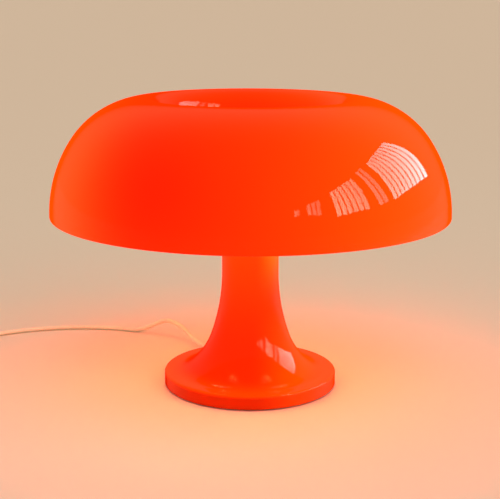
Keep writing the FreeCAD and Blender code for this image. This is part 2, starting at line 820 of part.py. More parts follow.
def holder_steps():
    flange_end = d.hub_half_width + d.holder_flange_thickness
    pin_hole = d.contact_pin_radius + d.bore_play
    return [
        (pin_hole, d.holder_inner_end),
        (d.holder_body_radius, d.holder_inner_end),
        (d.holder_body_radius, d.hub_half_width),
        (d.holder_flange_radius, d.hub_half_width),
        (d.holder_flange_radius, flange_end),
        (d.holder_front_radius, flange_end),
        (d.holder_front_radius, d.holder_front_end),
        (d.socket_radius, d.holder_front_end),
        (d.socket_radius, d.socket_floor),
        (pin_hole, d.socket_floor),
    ]


def contact_steps():
    tail = d.wire_ring_radius + d.wire_radius
    head_top = d.socket_floor + d.contact_thickness
    return [
        (ZERO, tail), (d.contact_pin_radius, tail), (d.contact_pin_radius, d.socket_floor),
        (d.contact_head_radius, d.socket_floor), (d.contact_head_radius, head_top), (ZERO, head_top),
    ]


def sleeve_steps():
    outer = d.socket_radius - d.bore_play
    start = d.holder_front_end - d.shell_length - d.contact_thickness
    end = start + d.shell_length
    inner = outer - d.shell_thickness
    return [(inner, start), (outer, start), (outer, end), (inner, end)]


def bulb_start():
    return d.socket_floor + d.contact_thickness


def bulb_cap_steps():
    start = bulb_start()
    end = start + d.cap_length
    shoulder = start + d.contact_thickness
    cone_end = shoulder + d.cap_tip_radius
    flare_start = end - d.cap_flare_length
    return [
        (ZERO, start), (d.cap_tip_radius, start), (d.cap_tip_radius, shoulder), (d.cap_radius, cone_end),
        (d.cap_radius, flare_start), (d.cap_flare_radius, end), (ZERO, end),
    ]


def globe_steps():
    start = bulb_start() + d.cap_length
    top = bulb_start() + d.bulb_length
    centre = top - d.globe_radius
    blend = d.globe_radius + d.neck_arc_radius
    offset = d.cap_flare_radius + d.neck_arc_radius
    drop = root(blend * blend - offset * offset)
    neck_end = centre - drop
    outer_share = d.globe_radius / blend
    inner_globe = d.globe_radius - d.glass_wall
    inner_share = inner_globe / blend
    inner_neck = d.cap_flare_radius - d.glass_wall
    return [
        (inner_neck, start),
        (d.cap_flare_radius, start),
        (d.cap_flare_radius, neck_end),
        (offset * outer_share, centre - drop * outer_share, d.neck_arc_radius, RIGHT),
        (ZERO, top, d.globe_radius, LEFT),
        (ZERO, top - d.glass_wall),
        (offset * inner_share, centre - drop * inner_share, inner_globe, RIGHT),
        (inner_neck, neck_end, d.neck_arc_radius + d.glass_wall, LEFT),
    ]


def make_holders_and_bulbs():
    ring_end = d.hub_half_width - d.hub_wall
    ring_start = ring_end - d.ring_nut_thickness
    ring_steps = [
        (d.holder_body_radius + d.thread_play, ring_start), (d.holder_flange_radius, ring_start),
        (d.holder_flange_radius, ring_end), (d.holder_body_radius + d.thread_play, ring_end),
    ]
    rings = []
    for index in range(HOLDER_COUNT):
        number = index + 1
        spot = (0, 0, holder_height)
        way = outwards(FIRST_HOLDER_AZIMUTH + 360.0 * index / HOLDER_COUNT)
        for label, steps in (
            ("lampholder", holder_steps()),
            ("holder_contact", contact_steps()),
            ("holder_sleeve", sleeve_steps()),
            ("bulb_cap", bulb_cap_steps()),
            ("bulb_globe", globe_steps()),
        ):
            name = "%s_%d" % (label, number)
            keep(name, turned(name, steps, spot, way))
        rings.append(turned("ring_nut_%d" % number, ring_steps, spot, way))
    keep("holder_ring_nuts", group("holder_ring_nuts", rings))


# ---------------------------------------------------------------------------------------------
# The shade and the knob that holds it down
# ---------------------------------------------------------------------------------------------
def make_shade():
    wall = d.shade_wall
    high = d.crest_turn
    deep = d.crest_turn + d.shoulder_turn
    hollow_arcs = d.bowl_arc_radius + d.lip_arc_radius
    bowl_r = worked("bowl_end_radius", d.shade_floor_radius + d.bowl_arc_radius * sin(d.lip_turn))
    bowl_z = worked("bowl_end_height", wall + d.bowl_arc_radius * (1 - cos(d.lip_turn)))
    crest_r = worked("crest_radius", d.shade_floor_radius + hollow_arcs * sin(d.lip_turn))
    crest_z = worked("crest_height", wall + hollow_arcs * (1 - cos(d.lip_turn)))
    arc_1_r = worked("crest_arc_end_radius", crest_r + d.crest_arc_radius * sin(high))
    arc_1_z = worked("crest_arc_end_height", crest_z - d.crest_arc_radius * (1 - cos(high)))
    arc_2_r = worked("shoulder_end_radius", arc_1_r + d.shoulder_arc_radius * (sin(deep) - sin(high)))
    arc_2_z = worked("shoulder_end_height", arc_1_z - d.shoulder_arc_radius * (cos(high) - cos(deep)))
    wall_arc = worked("wall_arc_radius", (d.shade_radius - arc_2_r) / (1 - sin(deep)))
    rim_z = worked("shade_rim_height", arc_2_z - wall_arc * cos(deep))
    edge = worked("rim_rounding", wall * HALF)
    # The sketch stands on the rounded rim's lowest point, so that every height in it is positive.
    base = worked("shade_drop", edge - rim_z)

    def up(height):
        return height + base

    def inner(radius, height, angle):
        return (radius - wall * sin(angle), up(height - wall * cos(angle)))

    steps = [
        (d.shade_radius - edge, ZERO, edge, LEFT),
        (d.shade_radius, edge, edge, LEFT),
        (arc_2_r, up(arc_2_z), wall_arc, LEFT),
        (arc_1_r, up(arc_1_z), d.shoulder_arc_radius, LEFT),
        (crest_r, up(crest_z), d.crest_arc_radius, LEFT),
        (bowl_r, up(bowl_z), d.lip_arc_radius, LEFT),
        (d.shade_floor_radius, up(wall), d.bowl_arc_radius, RIGHT),
        (d.shade_hole_radius, up(wall)),
        (d.shade_hole_radius, up(ZERO)),
        (d.shade_floor_radius, up(ZERO)),
        (bowl_r + wall * sin(d.lip_turn), up(bowl_z - wall * cos(d.lip_turn)),
         d.bowl_arc_radius + wall, LEFT),
        (crest_r, up(crest_z - wall), d.lip_arc_radius - wall, RIGHT),
        (*inner(arc_1_r, arc_1_z, high), d.crest_arc_radius - wall, RIGHT),
        (*inner(arc_2_r, arc_2_z, deep), d.shoulder_arc_radius - wall, RIGHT),
        (d.shade_radius - wall, edge, wall_arc - wall, RIGHT),
    ]
    keep("shade", turned("shade", steps, (0, 0, seat_height - base)))
    print("crest at radius %.1f and height %.1f, rim's lowest edge at %.1f" % (
        crest_r.number, seat_height.number + crest_z.number, seat_height.number - base.number))


def make_knob():
    edge, top, radius = d.knob_edge, d.knob_height, d.knob_radius
    rise = top - edge
    dome = worked("knob_dome_radius", (radius * radius + rise * rise) / (2 * rise))
    dome_centre = top - dome
    boss = d.insert_radius + d.shade_wall * HALF

    def under_dome(reach):
        return dome_centre + root(dome * dome - reach * reach) - d.knob_wall

    rim_inside = radius - d.knob_wall
    steps = [
        (rim_inside, ZERO),
        (radius, ZERO),
        (radius, edge),
        (ZERO, top, dome, LEFT),
        (ZERO, d.insert_top),
        (d.insert_radius, d.insert_top),
        (d.insert_radius, d.insert_bottom),
        (boss, d.insert_bottom),
        (boss, under_dome(boss)),
        (rim_inside, under_dome(rim_inside)),
    ]
    keep("centre_knob", turned("centre_knob", steps, (0, 0, shade_floor_top)))
    bore = d.rod_radius + d.thread_play
    outer = d.insert_radius - d.bore_play
    insert = [
        (bore, d.insert_bottom), (outer, d.insert_bottom), (outer, d.insert_top), (bore, d.insert_top),
    ]
    keep("knob_insert", turned("knob_insert", insert, (0, 0, shade_floor_top)))


# ---------------------------------------------------------------------------------------------
# Wiring inside the lamp
# ---------------------------------------------------------------------------------------------
def make_cord_entry():
    azimuth = d.cord_azimuth
    way = outwards(azimuth.number)
    bore = d.cord_radius + d.bore_play
    collar_end = disc_inner_radius - d.boot_gap
    collar_start = collar_end - d.boot_collar_length
    outside = d.base_radius + d.boot_gap
    steps = [
        (bore, collar_start), (d.boot_collar_radius, collar_start), (d.boot_collar_radius, collar_end),
        (d.boot_neck_radius, collar_end), (d.boot_neck_radius, outside), (d.boot_radius, outside),
        (d.boot_tip_radius, boot_end), (bore, boot_end),
    ]
    keep("strain_relief", turned("strain_relief", steps, (0, 0, d.cord_exit_height), way))

    x, y = around(block_outer, ZERO, azimuth)
    keep("inner_lead", cylinder("inner_lead", d.cord_radius, boot_end - block_outer,
                                (x, y, d.cord_exit_height), way))

    turn = about_axis(azimuth.number)
    x, y = around(clamp_start, d.clamp_width * -HALF, azimuth)
    bridge = box("clamp_bridge", d.clamp_length, d.clamp_width, d.clamp_top - cover_top, (x, y, cover_top),
                 turn)
    x, y = around(clamp_start, ZERO, azimuth)
    channel = cylinder("clamp_channel", bore, d.clamp_length, (x, y, d.cord_exit_height), way)
    x, y = around(clamp_start, bore * -1, azimuth)
    slot = box("clamp_slot", d.clamp_length, 2 * bore, d.cord_exit_height - cover_top, (x, y, cover_top),
               turn)
    tools = [channel, slot]
    screws = []
    for side in (-HALF, HALF):
        spot = around(clamp_centre, d.clamp_screw_spread * side, azimuth)
        tools.append(cylinder("clamp_hole", d.small_screw_radius + d.rod_clearance, d.clamp_top,
                              (*spot, cover_top)))
        screws.append(small_screw("clamp_screw", spot, d.clamp_top, cover_bottom + d.thread_play, True))
    keep("cord_clamp", cut("cord_clamp", bridge, tools))
    keep("clamp_screws", group("clamp_screws", screws))


def make_terminal_block():
    azimuth = d.cord_azimuth
    turn = about_axis(azimuth.number)
    x, y = around(block_inner, d.block_width * -HALF, azimuth)
    block = box("block_body", d.block_length, d.block_width, d.block_height, (x, y, cover_top), turn)
    top = cover_top + d.block_height
    centre = block_inner + d.block_length * HALF
    tools = []
    screws = []
    for out in (-HALF, HALF):
        for side in (-HALF, HALF):
            spot = around(centre + d.block_screw_pitch * out, d.block_screw_spread * side, azimuth)
            floor = top - d.block_screw_length
            tools.append(cylinder("block_hole", d.block_screw_radius + d.thread_play, d.block_screw_length,
                                  (*spot, floor)))
            screws.append(cylinder("block_screw", d.block_screw_radius,
                                   d.block_screw_length - d.rod_clearance, (*spot, floor)))
    keep("terminal_block", cut("terminal_block", block, tools))
    keep("terminal_screws", group("terminal_screws", screws))


def make_wire(label, side, ring_height):
    """From the terminal block up the stem and round behind the four lampholders."""
    radius = d.wire_radius.number
    ring = d.wire_ring_radius.number
    bend = d.wire_bend_radius.number
    azimuth = d.cord_azimuth
    sideways = d.block_screw_spread * (HALF * side)
    beside_ballast = d.ballast_radius + 2 * d.wire_radius + d.boot_gap
    clear_of_rib = d.rib_inner + 2 * d.rib_thickness + d.wire_bend_radius
    ring_start = QUARTER_TURN + side * d.wire_ring_lead.number
    span = d.wire_ring_span.number
    steps = (
        (block_inner, sideways, d.wire_entry_height),
        (beside_ballast, sideways, d.wire_entry_height),
        (beside_ballast, sideways, d.ballast_top),
        (clear_of_rib, sideways * HALF, d.ballast_top + d.rib_height),
    )
    points = []
    for distance, aside, height in steps:
        x, y = around(distance, aside, azimuth)
        points.append((x.number, y.number, height.number))

    def on_ring(angle):
        return Vector(ring * math.cos(math.radians(angle)), ring * math.sin(math.radians(angle)), ring_height)

    start = on_ring(ring_start)
    ahead = Vector(-start.y, start.x, 0).normalize() * side
    riser = start - ahead * bend
    bend_foot = riser - Vector(0, 0, bend)
    points.append((riser.x, riser.y, d.flare_start.number + 2 * bend))
    points.append(tuple(bend_foot))
    edges, radii = rounded_route(points)
    print("%s: arc radii %s mm" % (label, ", ".join("%.0f" % value for value in radii)))
    slope = math.sqrt(HALF)
    bend_middle = riser + ahead * (bend - bend * slope) - Vector(0, 0, bend - bend * slope)
    edges.append(Part.Arc(bend_foot, bend_middle, start).toShape())
    for index in range(RING_ARCS):
        angles = [ring_start + side * span * (index + share) / RING_ARCS for share in (0, HALF, 1)]
        edges.append(Part.Arc(*[on_ring(angle) for angle in angles]).toShape())
    tube(label, edges, radius, Vector(*points[1]) - Vector(*points[0]))


def make_wires():
    middle = holder_height.number
    spread = d.wire_ring_spread.number * HALF
    make_wire("live_wire", LEFT, middle + spread)
    make_wire("neutral_wire", RIGHT, middle - spread)


# ---------------------------------------------------------------------------------------------
# The switch in the cord
# ---------------------------------------------------------------------------------------------
SWITCH_X = LEAD_ROUTE[-1][0]
SWITCH_BACK = LEAD_ROUTE[-1][1]


def make_switch():
    width, length, height, wall = d.switch_width, d.switch_length, d.switch_height, d.switch_wall
    half_height = height * HALF
    left = SWITCH_X - width * HALF
    front = SWITCH_BACK - length
    middle_y = SWITCH_BACK - length * HALF
    outline = rounded_rectangle(width, length, d.switch_corner)

    def screw_spot(side):
        return (dim(SWITCH_X), middle_y + (length * HALF - d.switch_screw_inset) * side)

    lower = padded("switch_lower_block", outline, half_height, (left, front, 0))
    upper = padded("switch_upper_block", outline, half_height, (left, front, half_height))
    inside = (width - 2 * wall, length - 2 * wall, half_height - wall)
    lower_hollow = box("switch_lower_hollow", *inside, (left + wall, front + wall, wall))
    upper_hollow = box("switch_upper_hollow", *inside, (left + wall, front + wall, half_height))
    lower_shell = cut("switch_lower_shell", lower, [lower_hollow])
    opening = box("rocker_opening", d.rocker_width + 2 * d.rocker_play,
                  2 * (d.rocker_radius + d.rocker_play), wall,
                  (SWITCH_X - d.rocker_width * HALF - d.rocker_play,
                   middle_y - d.rocker_radius - d.rocker_play, height - wall))
    upper_shell = cut("switch_upper_shell", upper, [upper_hollow, opening])

    lower_parts, upper_parts, lower_tools, upper_tools, screws = [lower_shell], [upper_shell], [], [], []
    for side in (-1, 1):
        x, y = screw_spot(side)
        lower_parts.append(cylinder("lower_post", d.switch_post_radius, half_height - wall, (x, y, wall)))
        upper_parts.append(cylinder("upper_post", d.switch_post_radius, half_height - wall,
                                    (x, y, half_height)))
        head_face = d.small_screw_head + d.rod_clearance
        lower_tools.append(cylinder("head_sink", d.small_screw_head_radius + d.rod_clearance, head_face,
                                    (x, y, 0)))
        lower_tools.append(cylinder("lower_bore", d.small_screw_radius + d.rod_clearance,
                                    half_height - head_face, (x, y, head_face)))
        upper_tools.append(cylinder("upper_bore", d.small_screw_radius + d.thread_play,
                                    half_height - 2 * wall, (x, y, half_height)))
        screws.append(small_screw("switch_screw", (x, y), head_face, height - 2 * wall - d.rod_clearance))
        lug_inside = d.rocker_width * HALF + d.rocker_play
        lug_x = SWITCH_X + lug_inside * side - d.lug_thickness * (HALF - HALF * side)
        upper_parts.append(box("pivot_lug", d.lug_thickness, d.lug_height, height - wall - d.pivot_height
                               + d.lug_height * HALF,
                               (lug_x, middle_y - d.lug_height * HALF, d.pivot_height - d.lug_height * HALF)))
    pin_length = d.rocker_width + 2 * d.rocker_play + 2 * d.lug_thickness
    pin_start = SWITCH_X - pin_length * HALF
    along_x = Rotation(Vector(0, 1, 0), 90)
    upper_tools.append(cylinder("lug_bore", d.pivot_radius + d.thread_play, pin_length,
                                (pin_start, middle_y, d.pivot_height), along_x))
    keep("switch_lower_housing",
         cut("switch_lower_housing", fuse("switch_lower_body", lower_parts), lower_tools))
    keep("switch_upper_housing",
         cut("switch_upper_housing", fuse("switch_upper_body", upper_parts), upper_tools))
    keep("switch_screws", group("switch_screws", screws))
    keep("rocker_pin", cylinder("rocker_pin", d.pivot_radius, pin_length,
                                (pin_start, middle_y, d.pivot_height), along_x))
    make_rocker(middle_y)
    make_switch_terminals(middle_y)


def make_rocker(middle_y):
    """A see-saw button whose ends are arcs about its pivot, resting with its far end pressed down."""
    reach, drop = d.rocker_radius, d.rocker_drop
    low = root(reach * reach - drop * drop)
    high = root(reach * reach - d.rocker_crown * d.rocker_crown)
    steps = [
        (reach - low, ZERO),
        (reach + low, ZERO),
        (reach + high, drop + d.rocker_crown, reach, LEFT),
        (reach, drop + d.rocker_dip),
        (reach - high, drop + d.rocker_crown),
    ]
    steps[0] += (reach, LEFT)
    # The outline stands upright across the cord's way, so the button is padded along the pivot.
    tilt = Rotation(Vector(1, 0, 0), -d.rocker_tilt.number)
    upright = Rotation(Vector(0, 0, 1), 90) * Rotation(Vector(1, 0, 0), 90)
    corner = tilt.multVec(Vector(0, -reach.number, -drop.number))
    spot = (SWITCH_X - d.rocker_width * HALF, middle_y + dim(corner.y), d.pivot_height + dim(corner.z))
    button = padded("rocker_button", steps, d.rocker_width, spot, tilt * upright)
    bore = cylinder("rocker_bore", d.pivot_radius + d.thread_play, d.rocker_width,
                    (SWITCH_X - d.rocker_width * HALF, middle_y, d.pivot_height),
                    Rotation(Vector(0, 1, 0), 90))
    keep("switch_rocker", cut("switch_rocker", button, [bore]))


def make_switch_terminals(middle_y):
    terminals = []
    for side in (-1, 1):
        length = d.switch_screw_inset + d.terminal_height
        centre = middle_y + (d.rocker_radius + d.terminal_height) * side
        terminals.append(box("switch_terminal", d.rocker_width, length, d.terminal_height,
                             (SWITCH_X - d.rocker_width * HALF, centre - length * HALF, d.switch_wall)))
    keep("switch_terminals", group("switch_terminals", terminals))


# ---------------------------------------------------------------------------------------------
# The free cord, its coil and the plug
# ---------------------------------------------------------------------------------------------
def make_cords():
    x, y = around(boot_end, ZERO, d.cord_azimuth)
    start = (x.number, y.number, d.cord_exit_height.number)
    total = cord("cord_lead", (start,) + LEAD_ROUTE)
    total += cord("cord_tail", TAIL_ROUTE)
    total += make_coil()
    total += cord("cord_end", END_ROUTE)
    print("free cord in all: %.0f mm" % total)


def make_coil():
    """Two flat layers: the lower spirals in, climbs in the half turn where it reverses, and spirals out."""
    outer = d.coil_outer_radius.number
    pitch = d.coil_pitch.number
    step = d.coil_layer_step.number
    low = TAIL_ROUTE[-1][2]
    diameter = 2 * d.cord_radius.number
    full = 2 * math.pi
    inwards = full * COIL_TURNS_PER_LAYER
    reversal = inwards + math.pi * HALF
    end = inwards + math.pi + inwards
    slope = pitch / full

    def radius_at(angle):
        return outer - slope * reversal + slope * abs(angle - reversal)

    def height_at(angle):
        share = min(max((angle - inwards) / math.pi, 0.0), 1.0)
        return low + step * share * share * (3 - 2 * share)

    def point_at(angle):
        reach = radius_at(angle)
        return Vector(COIL_CENTRE[0] + reach * math.cos(angle), COIL_CENTRE[1] - reach * math.sin(angle),
                      height_at(angle))

    def way_at(angle):
        side = 0 if abs(angle - reversal) < TINY else (1 if angle > reversal else -1)
        if angle in (0, end):
            side = 0
        climb = (height_at(angle + NUDGE) - height_at(angle - NUDGE)) / (2 * NUDGE)
        reach, growth = radius_at(angle), slope * side
        return Vector(growth * math.cos(angle) - reach * math.sin(angle),
                      -growth * math.sin(angle) - reach * math.cos(angle), climb).normalize()

    quarters = 2 * QUARTERS * COIL_TURNS_PER_LAYER + QUARTERS // 2
    angles = [end * index / quarters for index in range(quarters + 1)]
    start_way, end_way = way_at(0), way_at(end)
    edges = [line(point_at(0) - start_way * diameter, point_at(0))]
    for first, second in zip(angles, angles[1:]):
        edges += biarc(point_at(first), way_at(first), point_at(second), way_at(second))
    edges.append(line(point_at(end), point_at(end) + end_way * diameter))
    print("coil: least gap to itself %.2f mm" % (least_distance(edges, diameter) - diameter))
    print("coil: least bend radius %.1f mm" % min(
        edge.Curve.Radius for edge in edges if hasattr(edge.Curve, "Radius")))
    return tube("cord_coil", edges, d.cord_radius.number, start_way)


def least_distance(edges, diameter):
    """Least distance between points of a path that lie more than a few diameters apart along it."""
    spacing = diameter / SPOTS_PER_DIAMETER
    far = NEIGHBOUR_SPAN * diameter
    points = []
    travelled = 0.0
    for edge in edges:
        count = max(int(edge.Length / spacing), 1)
        for index in range(count):
            parameter = edge.FirstParameter + (edge.LastParameter - edge.FirstParameter) * index / count
            points.append((travelled + edge.Length * index / count, edge.valueAt(parameter)))
        travelled += edge.Length
    least = far
    for index, (place_one, one) in enumerate(points):
        for place_two, two in points[index + 1:]:
            if place_two - place_one > far:
                least = min(least, one.distanceToPoint(two))
    return least


def make_plug():
    """A flat two-pin plug lying on the table, its pins pointing along +Y."""
    plug_x, boot_start, _ = END_ROUTE[-1]
    middle_z = END_ROUTE[-1][2]
    back = boot_start + d.plug_boot_length
    side = (d.plug_width - d.plug_back_width) * HALF
    steps = [
        (ZERO, d.plug_length), (ZERO, d.plug_shoulder), (side, ZERO), (side + d.plug_back_width, ZERO),
        (d.plug_width, d.plug_shoulder), (d.plug_width, d.plug_length),
    ]
    bottom = middle_z - d.plug_height * HALF
    body = padded("plug_moulding", steps, d.plug_height, (plug_x - d.plug_width * HALF, back, bottom),
                  rounding=d.plug_rounding)
    along_y = Rotation(Vector(1, 0, 0), -90)
    boot = cone("plug_boot", d.plug_boot_tip_radius, d.plug_boot_radius, d.plug_boot_length + d.plug_rounding,
                (plug_x, boot_start, middle_z), along_y)
    face = back + d.plug_length
    holes = []
    pins = []
    for half in (-HALF, HALF):
        spot = (plug_x + d.pin_spread * half, face - d.pin_depth, middle_z)
        holes.append(cylinder("pin_hole", d.pin_root_radius + d.bore_play, d.pin_depth, spot, along_y))
        pins.append(fuse("plug_pin", [
            cylinder("pin_root", d.pin_root_radius, d.pin_depth, spot, along_y),
            cylinder("pin_wall", d.pin_radius, d.pin_length, (spot[0], face, middle_z), along_y),
            cone("pin_tip", d.pin_radius, d.pin_tip_radius, d.pin_tip_length,
                 (spot[0], face + d.pin_length, middle_z), along_y),
        ]))
    keep("plug_body", cut("plug_body", fuse("plug_shell", [body, boot]), holes))
    keep("plug_pins", group("plug_pins", pins))
    print("plug pins start at y %.2f, x %.2f and %.2f, z %.2f" % (
        face.number, plug_x - d.pin_spread.number * HALF, plug_x + d.pin_spread.number * HALF, middle_z))


# ---------------------------------------------------------------------------------------------
# Build, check and write
# ---------------------------------------------------------------------------------------------
def check():
    for thing in DOC.Objects:
        if "Invalid" in thing.State or "Error" in thing.State:
            raise RuntimeError("%s failed: %s" % (thing.Name, thing.State))
    for result, base in CUTS:
        if result.Shape.Volume >= base.Shape.Volume - TINY:
            raise RuntimeError("%s takes nothing away" % result.Name)
    for label, piece in PIECES.items():
        if piece.Shape.isNull() or not piece.Shape.isValid():
            raise RuntimeError("%s has no sound shape" % label)


def write():
    for label, piece in PIECES.items():
        piece.Shape.exportStep("parts/%s.step" % label)
    print("%d pieces written" % len(PIECES))


make_foot_stem()
make_base()
make_rod()
make_hub()
make_holders_and_bulbs()
make_shade()
make_knob()
make_cord_entry()
make_terminal_block()
make_wires()
make_switch()
make_cords()
make_plug()
DOC.recompute()
check()
write()
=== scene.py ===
# %% [markdown]
# # A mushroom table lamp
# The lamp is one glossy orange shade with a sunk middle, on a trumpet foot of the same plastic. Four round
# bulbs light it from inside. Its solids come ready made, in metres, and this script gives them their looks.
# Pieces that are round and glossy are turned up again here with finer rings, because a mirror-like surface
# shows every flat facet of a coarse mesh.

# %% Load the solids
import json
from math import asin, cos, degrees, pi, radians, sin, sqrt

import bpy
from mathutils import Matrix, Vector
from mathutils.interpolate import poly_3d_calc

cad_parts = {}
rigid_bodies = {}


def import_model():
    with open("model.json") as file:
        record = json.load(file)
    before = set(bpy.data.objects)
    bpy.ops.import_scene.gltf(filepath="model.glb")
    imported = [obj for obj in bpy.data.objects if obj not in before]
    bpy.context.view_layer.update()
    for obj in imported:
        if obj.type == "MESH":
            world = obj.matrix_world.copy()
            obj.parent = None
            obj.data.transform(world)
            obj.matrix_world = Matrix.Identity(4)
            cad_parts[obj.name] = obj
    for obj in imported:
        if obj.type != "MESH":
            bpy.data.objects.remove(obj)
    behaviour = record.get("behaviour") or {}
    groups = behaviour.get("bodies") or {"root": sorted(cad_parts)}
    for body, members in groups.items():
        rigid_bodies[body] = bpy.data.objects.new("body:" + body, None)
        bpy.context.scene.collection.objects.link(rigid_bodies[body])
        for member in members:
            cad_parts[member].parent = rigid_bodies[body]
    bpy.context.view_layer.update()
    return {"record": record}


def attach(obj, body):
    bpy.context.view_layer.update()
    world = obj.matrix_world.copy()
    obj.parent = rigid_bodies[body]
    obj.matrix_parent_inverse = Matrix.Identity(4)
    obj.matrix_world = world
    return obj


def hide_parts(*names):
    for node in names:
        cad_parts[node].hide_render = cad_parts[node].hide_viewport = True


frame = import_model()
MM = 0.001


def metres(spot):
    """A place or a size given in millimetres, in metres."""
    return [value * MM for value in spot]


# %% [markdown]
# ## The camera
# The photograph looks down on the lamp by about twelve and a half degrees from a little under a metre away.
# These numbers come from fitting the outlines of the shade, the stem and the foot. The picture is turned by a
# fifth of a degree, so the camera is turned about its own line of sight as well.

# %% Set up the camera
CAMERA_DISTANCE = 911.4 * MM
CAMERA_HEIGHT = 316.7 * MM
CAMERA_PITCH = 12.608
CAMERA_YAW = 0.02
CAMERA_ROLL = 0.202
LENS = 82.8

camera = bpy.data.objects.new("camera", bpy.data.cameras.new("camera"))
bpy.context.scene.collection.objects.link(camera)
camera.data.lens = LENS
camera.data.sensor_width = 36
camera.matrix_world = (
    Matrix.Translation((0, -CAMERA_DISTANCE, CAMERA_HEIGHT))
    @ Matrix.Rotation(radians(CAMERA_YAW), 4, "Z")
    @ Matrix.Rotation(radians(90 - CAMERA_PITCH), 4, "X")
    @ Matrix.Rotation(radians(CAMERA_ROLL), 4, "Z")
)
bpy.context.scene.camera = camera
bpy.context.scene.view_settings.view_transform = "Standard"

# %% [markdown]
# ## Recipes for the materials
# Every finish here is a Principled shader whose inputs are fed by procedural textures on Object coordinates,
# so the pattern stays with the piece whatever the view. A moulded plastic is never perfectly even: its gloss
# changes a little from place to place, and its skin has a very faint, wide waviness left by the mould.

# %% Make tools for the finishes
def feed(node, values):
    """Give inputs of a node their values: a number, a colour, or what comes out of another node."""
    for name, value in values.items():
        socket = node.inputs[name]
        if isinstance(value, bpy.types.NodeSocket):
            node.id_data.links.new(value, socket)
        else:
            socket.default_value = (*value, 1) if socket.type == "RGBA" else value


def new_node(beside, kind, values=None):
    """A new node in the same material as another node or its output."""
    node = beside.id_data.nodes.new("ShaderNode" + kind)
    feed(node, values or {})
    return node


def new_material(name):
    """A material, its Principled shader, and the place on the object that its patterns follow."""
    material = bpy.data.materials.new(name)
    material.use_nodes = True
    shader = material.node_tree.nodes["Principled BSDF"]
    return material, shader, new_node(shader, "TexCoord").outputs["Object"]


def cloudy(place, scale, detail=3.0):
    """Soft noise at a scale of so many clouds a metre."""
    return new_node(place, "TexNoise", {"Vector": place, "Scale": scale, "Detail": detail}).outputs["Fac"]


def spread(factor, low, high):
    """Bring a factor from 0 and 1 to a low and a high number."""
    return new_node(factor, "MapRange", {"Value": factor, "To Min": low, "To Max": high}).outputs["Result"]


def tinted(factor, below, above):
    """Lay one colour over another by a factor."""
    blend = new_node(factor, "Mix")
    blend.data_type = "RGBA"
    feed(blend, {0: factor, 6: below, 7: above})
    return blend.outputs[2]


def bumped(shader, height, depth):
    """A bump from a height between 0 and 1, its depth in millimetres."""
    bump = new_node(shader, "Bump", {"Strength": 1.0, "Distance": depth * MM, "Height": height})
    feed(shader, {"Normal": bump.outputs["Normal"]})


# %% Build a moulded finish
def moulded(name, dark, light, roughness, metal=0.0, grain=900, depth=0.02):
    """An even finish: colour that drifts a little, gloss that varies, and a faint grain."""
    material, shader, place = new_material(name)
    feed(shader, {
        "Base Color": tinted(cloudy(place, 40), dark, light), "Metallic": metal,
        "Roughness": spread(cloudy(place, 90), roughness * 0.7, roughness * 1.3),
    })
    bumped(shader, cloudy(place, grain), depth)
    return material


# %% [markdown]
# ## The cord
# The cord leaves the back of the foot, arches over the table and runs on out of the view to the switch. The
# rest of it is put away in a neat coil of two layers beside the lamp, with the plug. A flexible cord never
# bends sharply, so it is one smooth NURBS spline steered by the same points as the solid, with a round bevel.
# The points carry the cord's radius and the bevel is one unit deep, because the curve's box counts the points'.

# %% Lay the cord's two lengths
CORD_RADIUS = 2.1
CORD_EXIT = (-40.37, 75.93, 6.75)
LEAD_ROUTE = [
    (-46.6, 87.6, 6.75), (-52.5, 101.5, 5.4), (-62.5, 114.5, 13.6), (-77.5, 124.5, 18.2), (-92, 133.2, 9.8),
    (-105.5, 140, 2.3), (-127, 148, 2.1), (-159, 152, 2.1), (-195, 147, 2.1),
    (-226, 135, 2.1), (-248, 119, 2.2), (-259.5, 103, 4.6), (-262, 88, 7.5), (-262, 74, 7.5),
]
TAIL_ROUTE = [
    (-262, 12, 7.5), (-262, 0, 7.5), (-261.4, -13, 4.8), (-262.3, -27, 2.2), (-262, -41, 2.1),
    (-262, -53.8, 2.1),
]
END_ROUTE = [
    (-330, -53.8, 6.85), (-330, -40, 6.85), (-330.6, -25, 4), (-332, -9, 2.3), (-332.6, 6, 4.4),
    (-332, 20, 7), (-332, 33, 7),
]
COIL_CENTRE = (-296, -58)
COIL_RADIUS = 34
COIL_PITCH = 4.7
COIL_STEP = 4.75
COIL_TURNS = 4
POINTS_A_TURN = 16


def coil_route():
    """Points of a coil that winds inwards on the table, climbs a layer and winds out again."""
    slope = COIL_PITCH / (2 * pi)
    inwards = 2 * pi * COIL_TURNS
    reversal = inwards + pi / 2
    outside = 1 / cos(pi / POINTS_A_TURN)
    points = []
    for index in range(1, round((2 * COIL_TURNS + 0.5) * POINTS_A_TURN)):
        angle = 2 * pi * index / POINTS_A_TURN
        reach = (COIL_RADIUS - slope * reversal + slope * abs(angle - reversal)) * outside
        share = min(max((angle - inwards) / pi, 0.0), 1.0)
        height = TAIL_ROUTE[-1][2] + COIL_STEP * share * share * (3 - 2 * share)
        points.append((COIL_CENTRE[0] + reach * cos(angle), COIL_CENTRE[1] - reach * sin(angle), height))
    return points


def lay_cord(name, route, radius=CORD_RADIUS):
    """One open NURBS spline along a route in millimetres, with a round section."""
    curve = bpy.data.curves.new(name, "CURVE")
    curve.dimensions = "3D"
    spline = curve.splines.new("NURBS")
    spline.points.add(len(route) - 1)
    for point, spot in zip(spline.points, route):
        point.co = (*metres(spot), 1)
        point.radius = radius * MM
    spline.order_u = 3
    spline.use_endpoint_u = True
    curve.resolution_u = 8
    curve.bevel_depth = 1.0
    curve.bevel_resolution = 5
    curve.use_fill_caps = True
    piece = bpy.data.objects.new(name, curve)
    bpy.context.scene.collection.objects.link(piece)
    return piece


lead = lay_cord("flex_to_switch", [CORD_EXIT] + LEAD_ROUTE)
flex = lay_cord("flex_to_plug", TAIL_ROUTE + coil_route() + END_ROUTE)

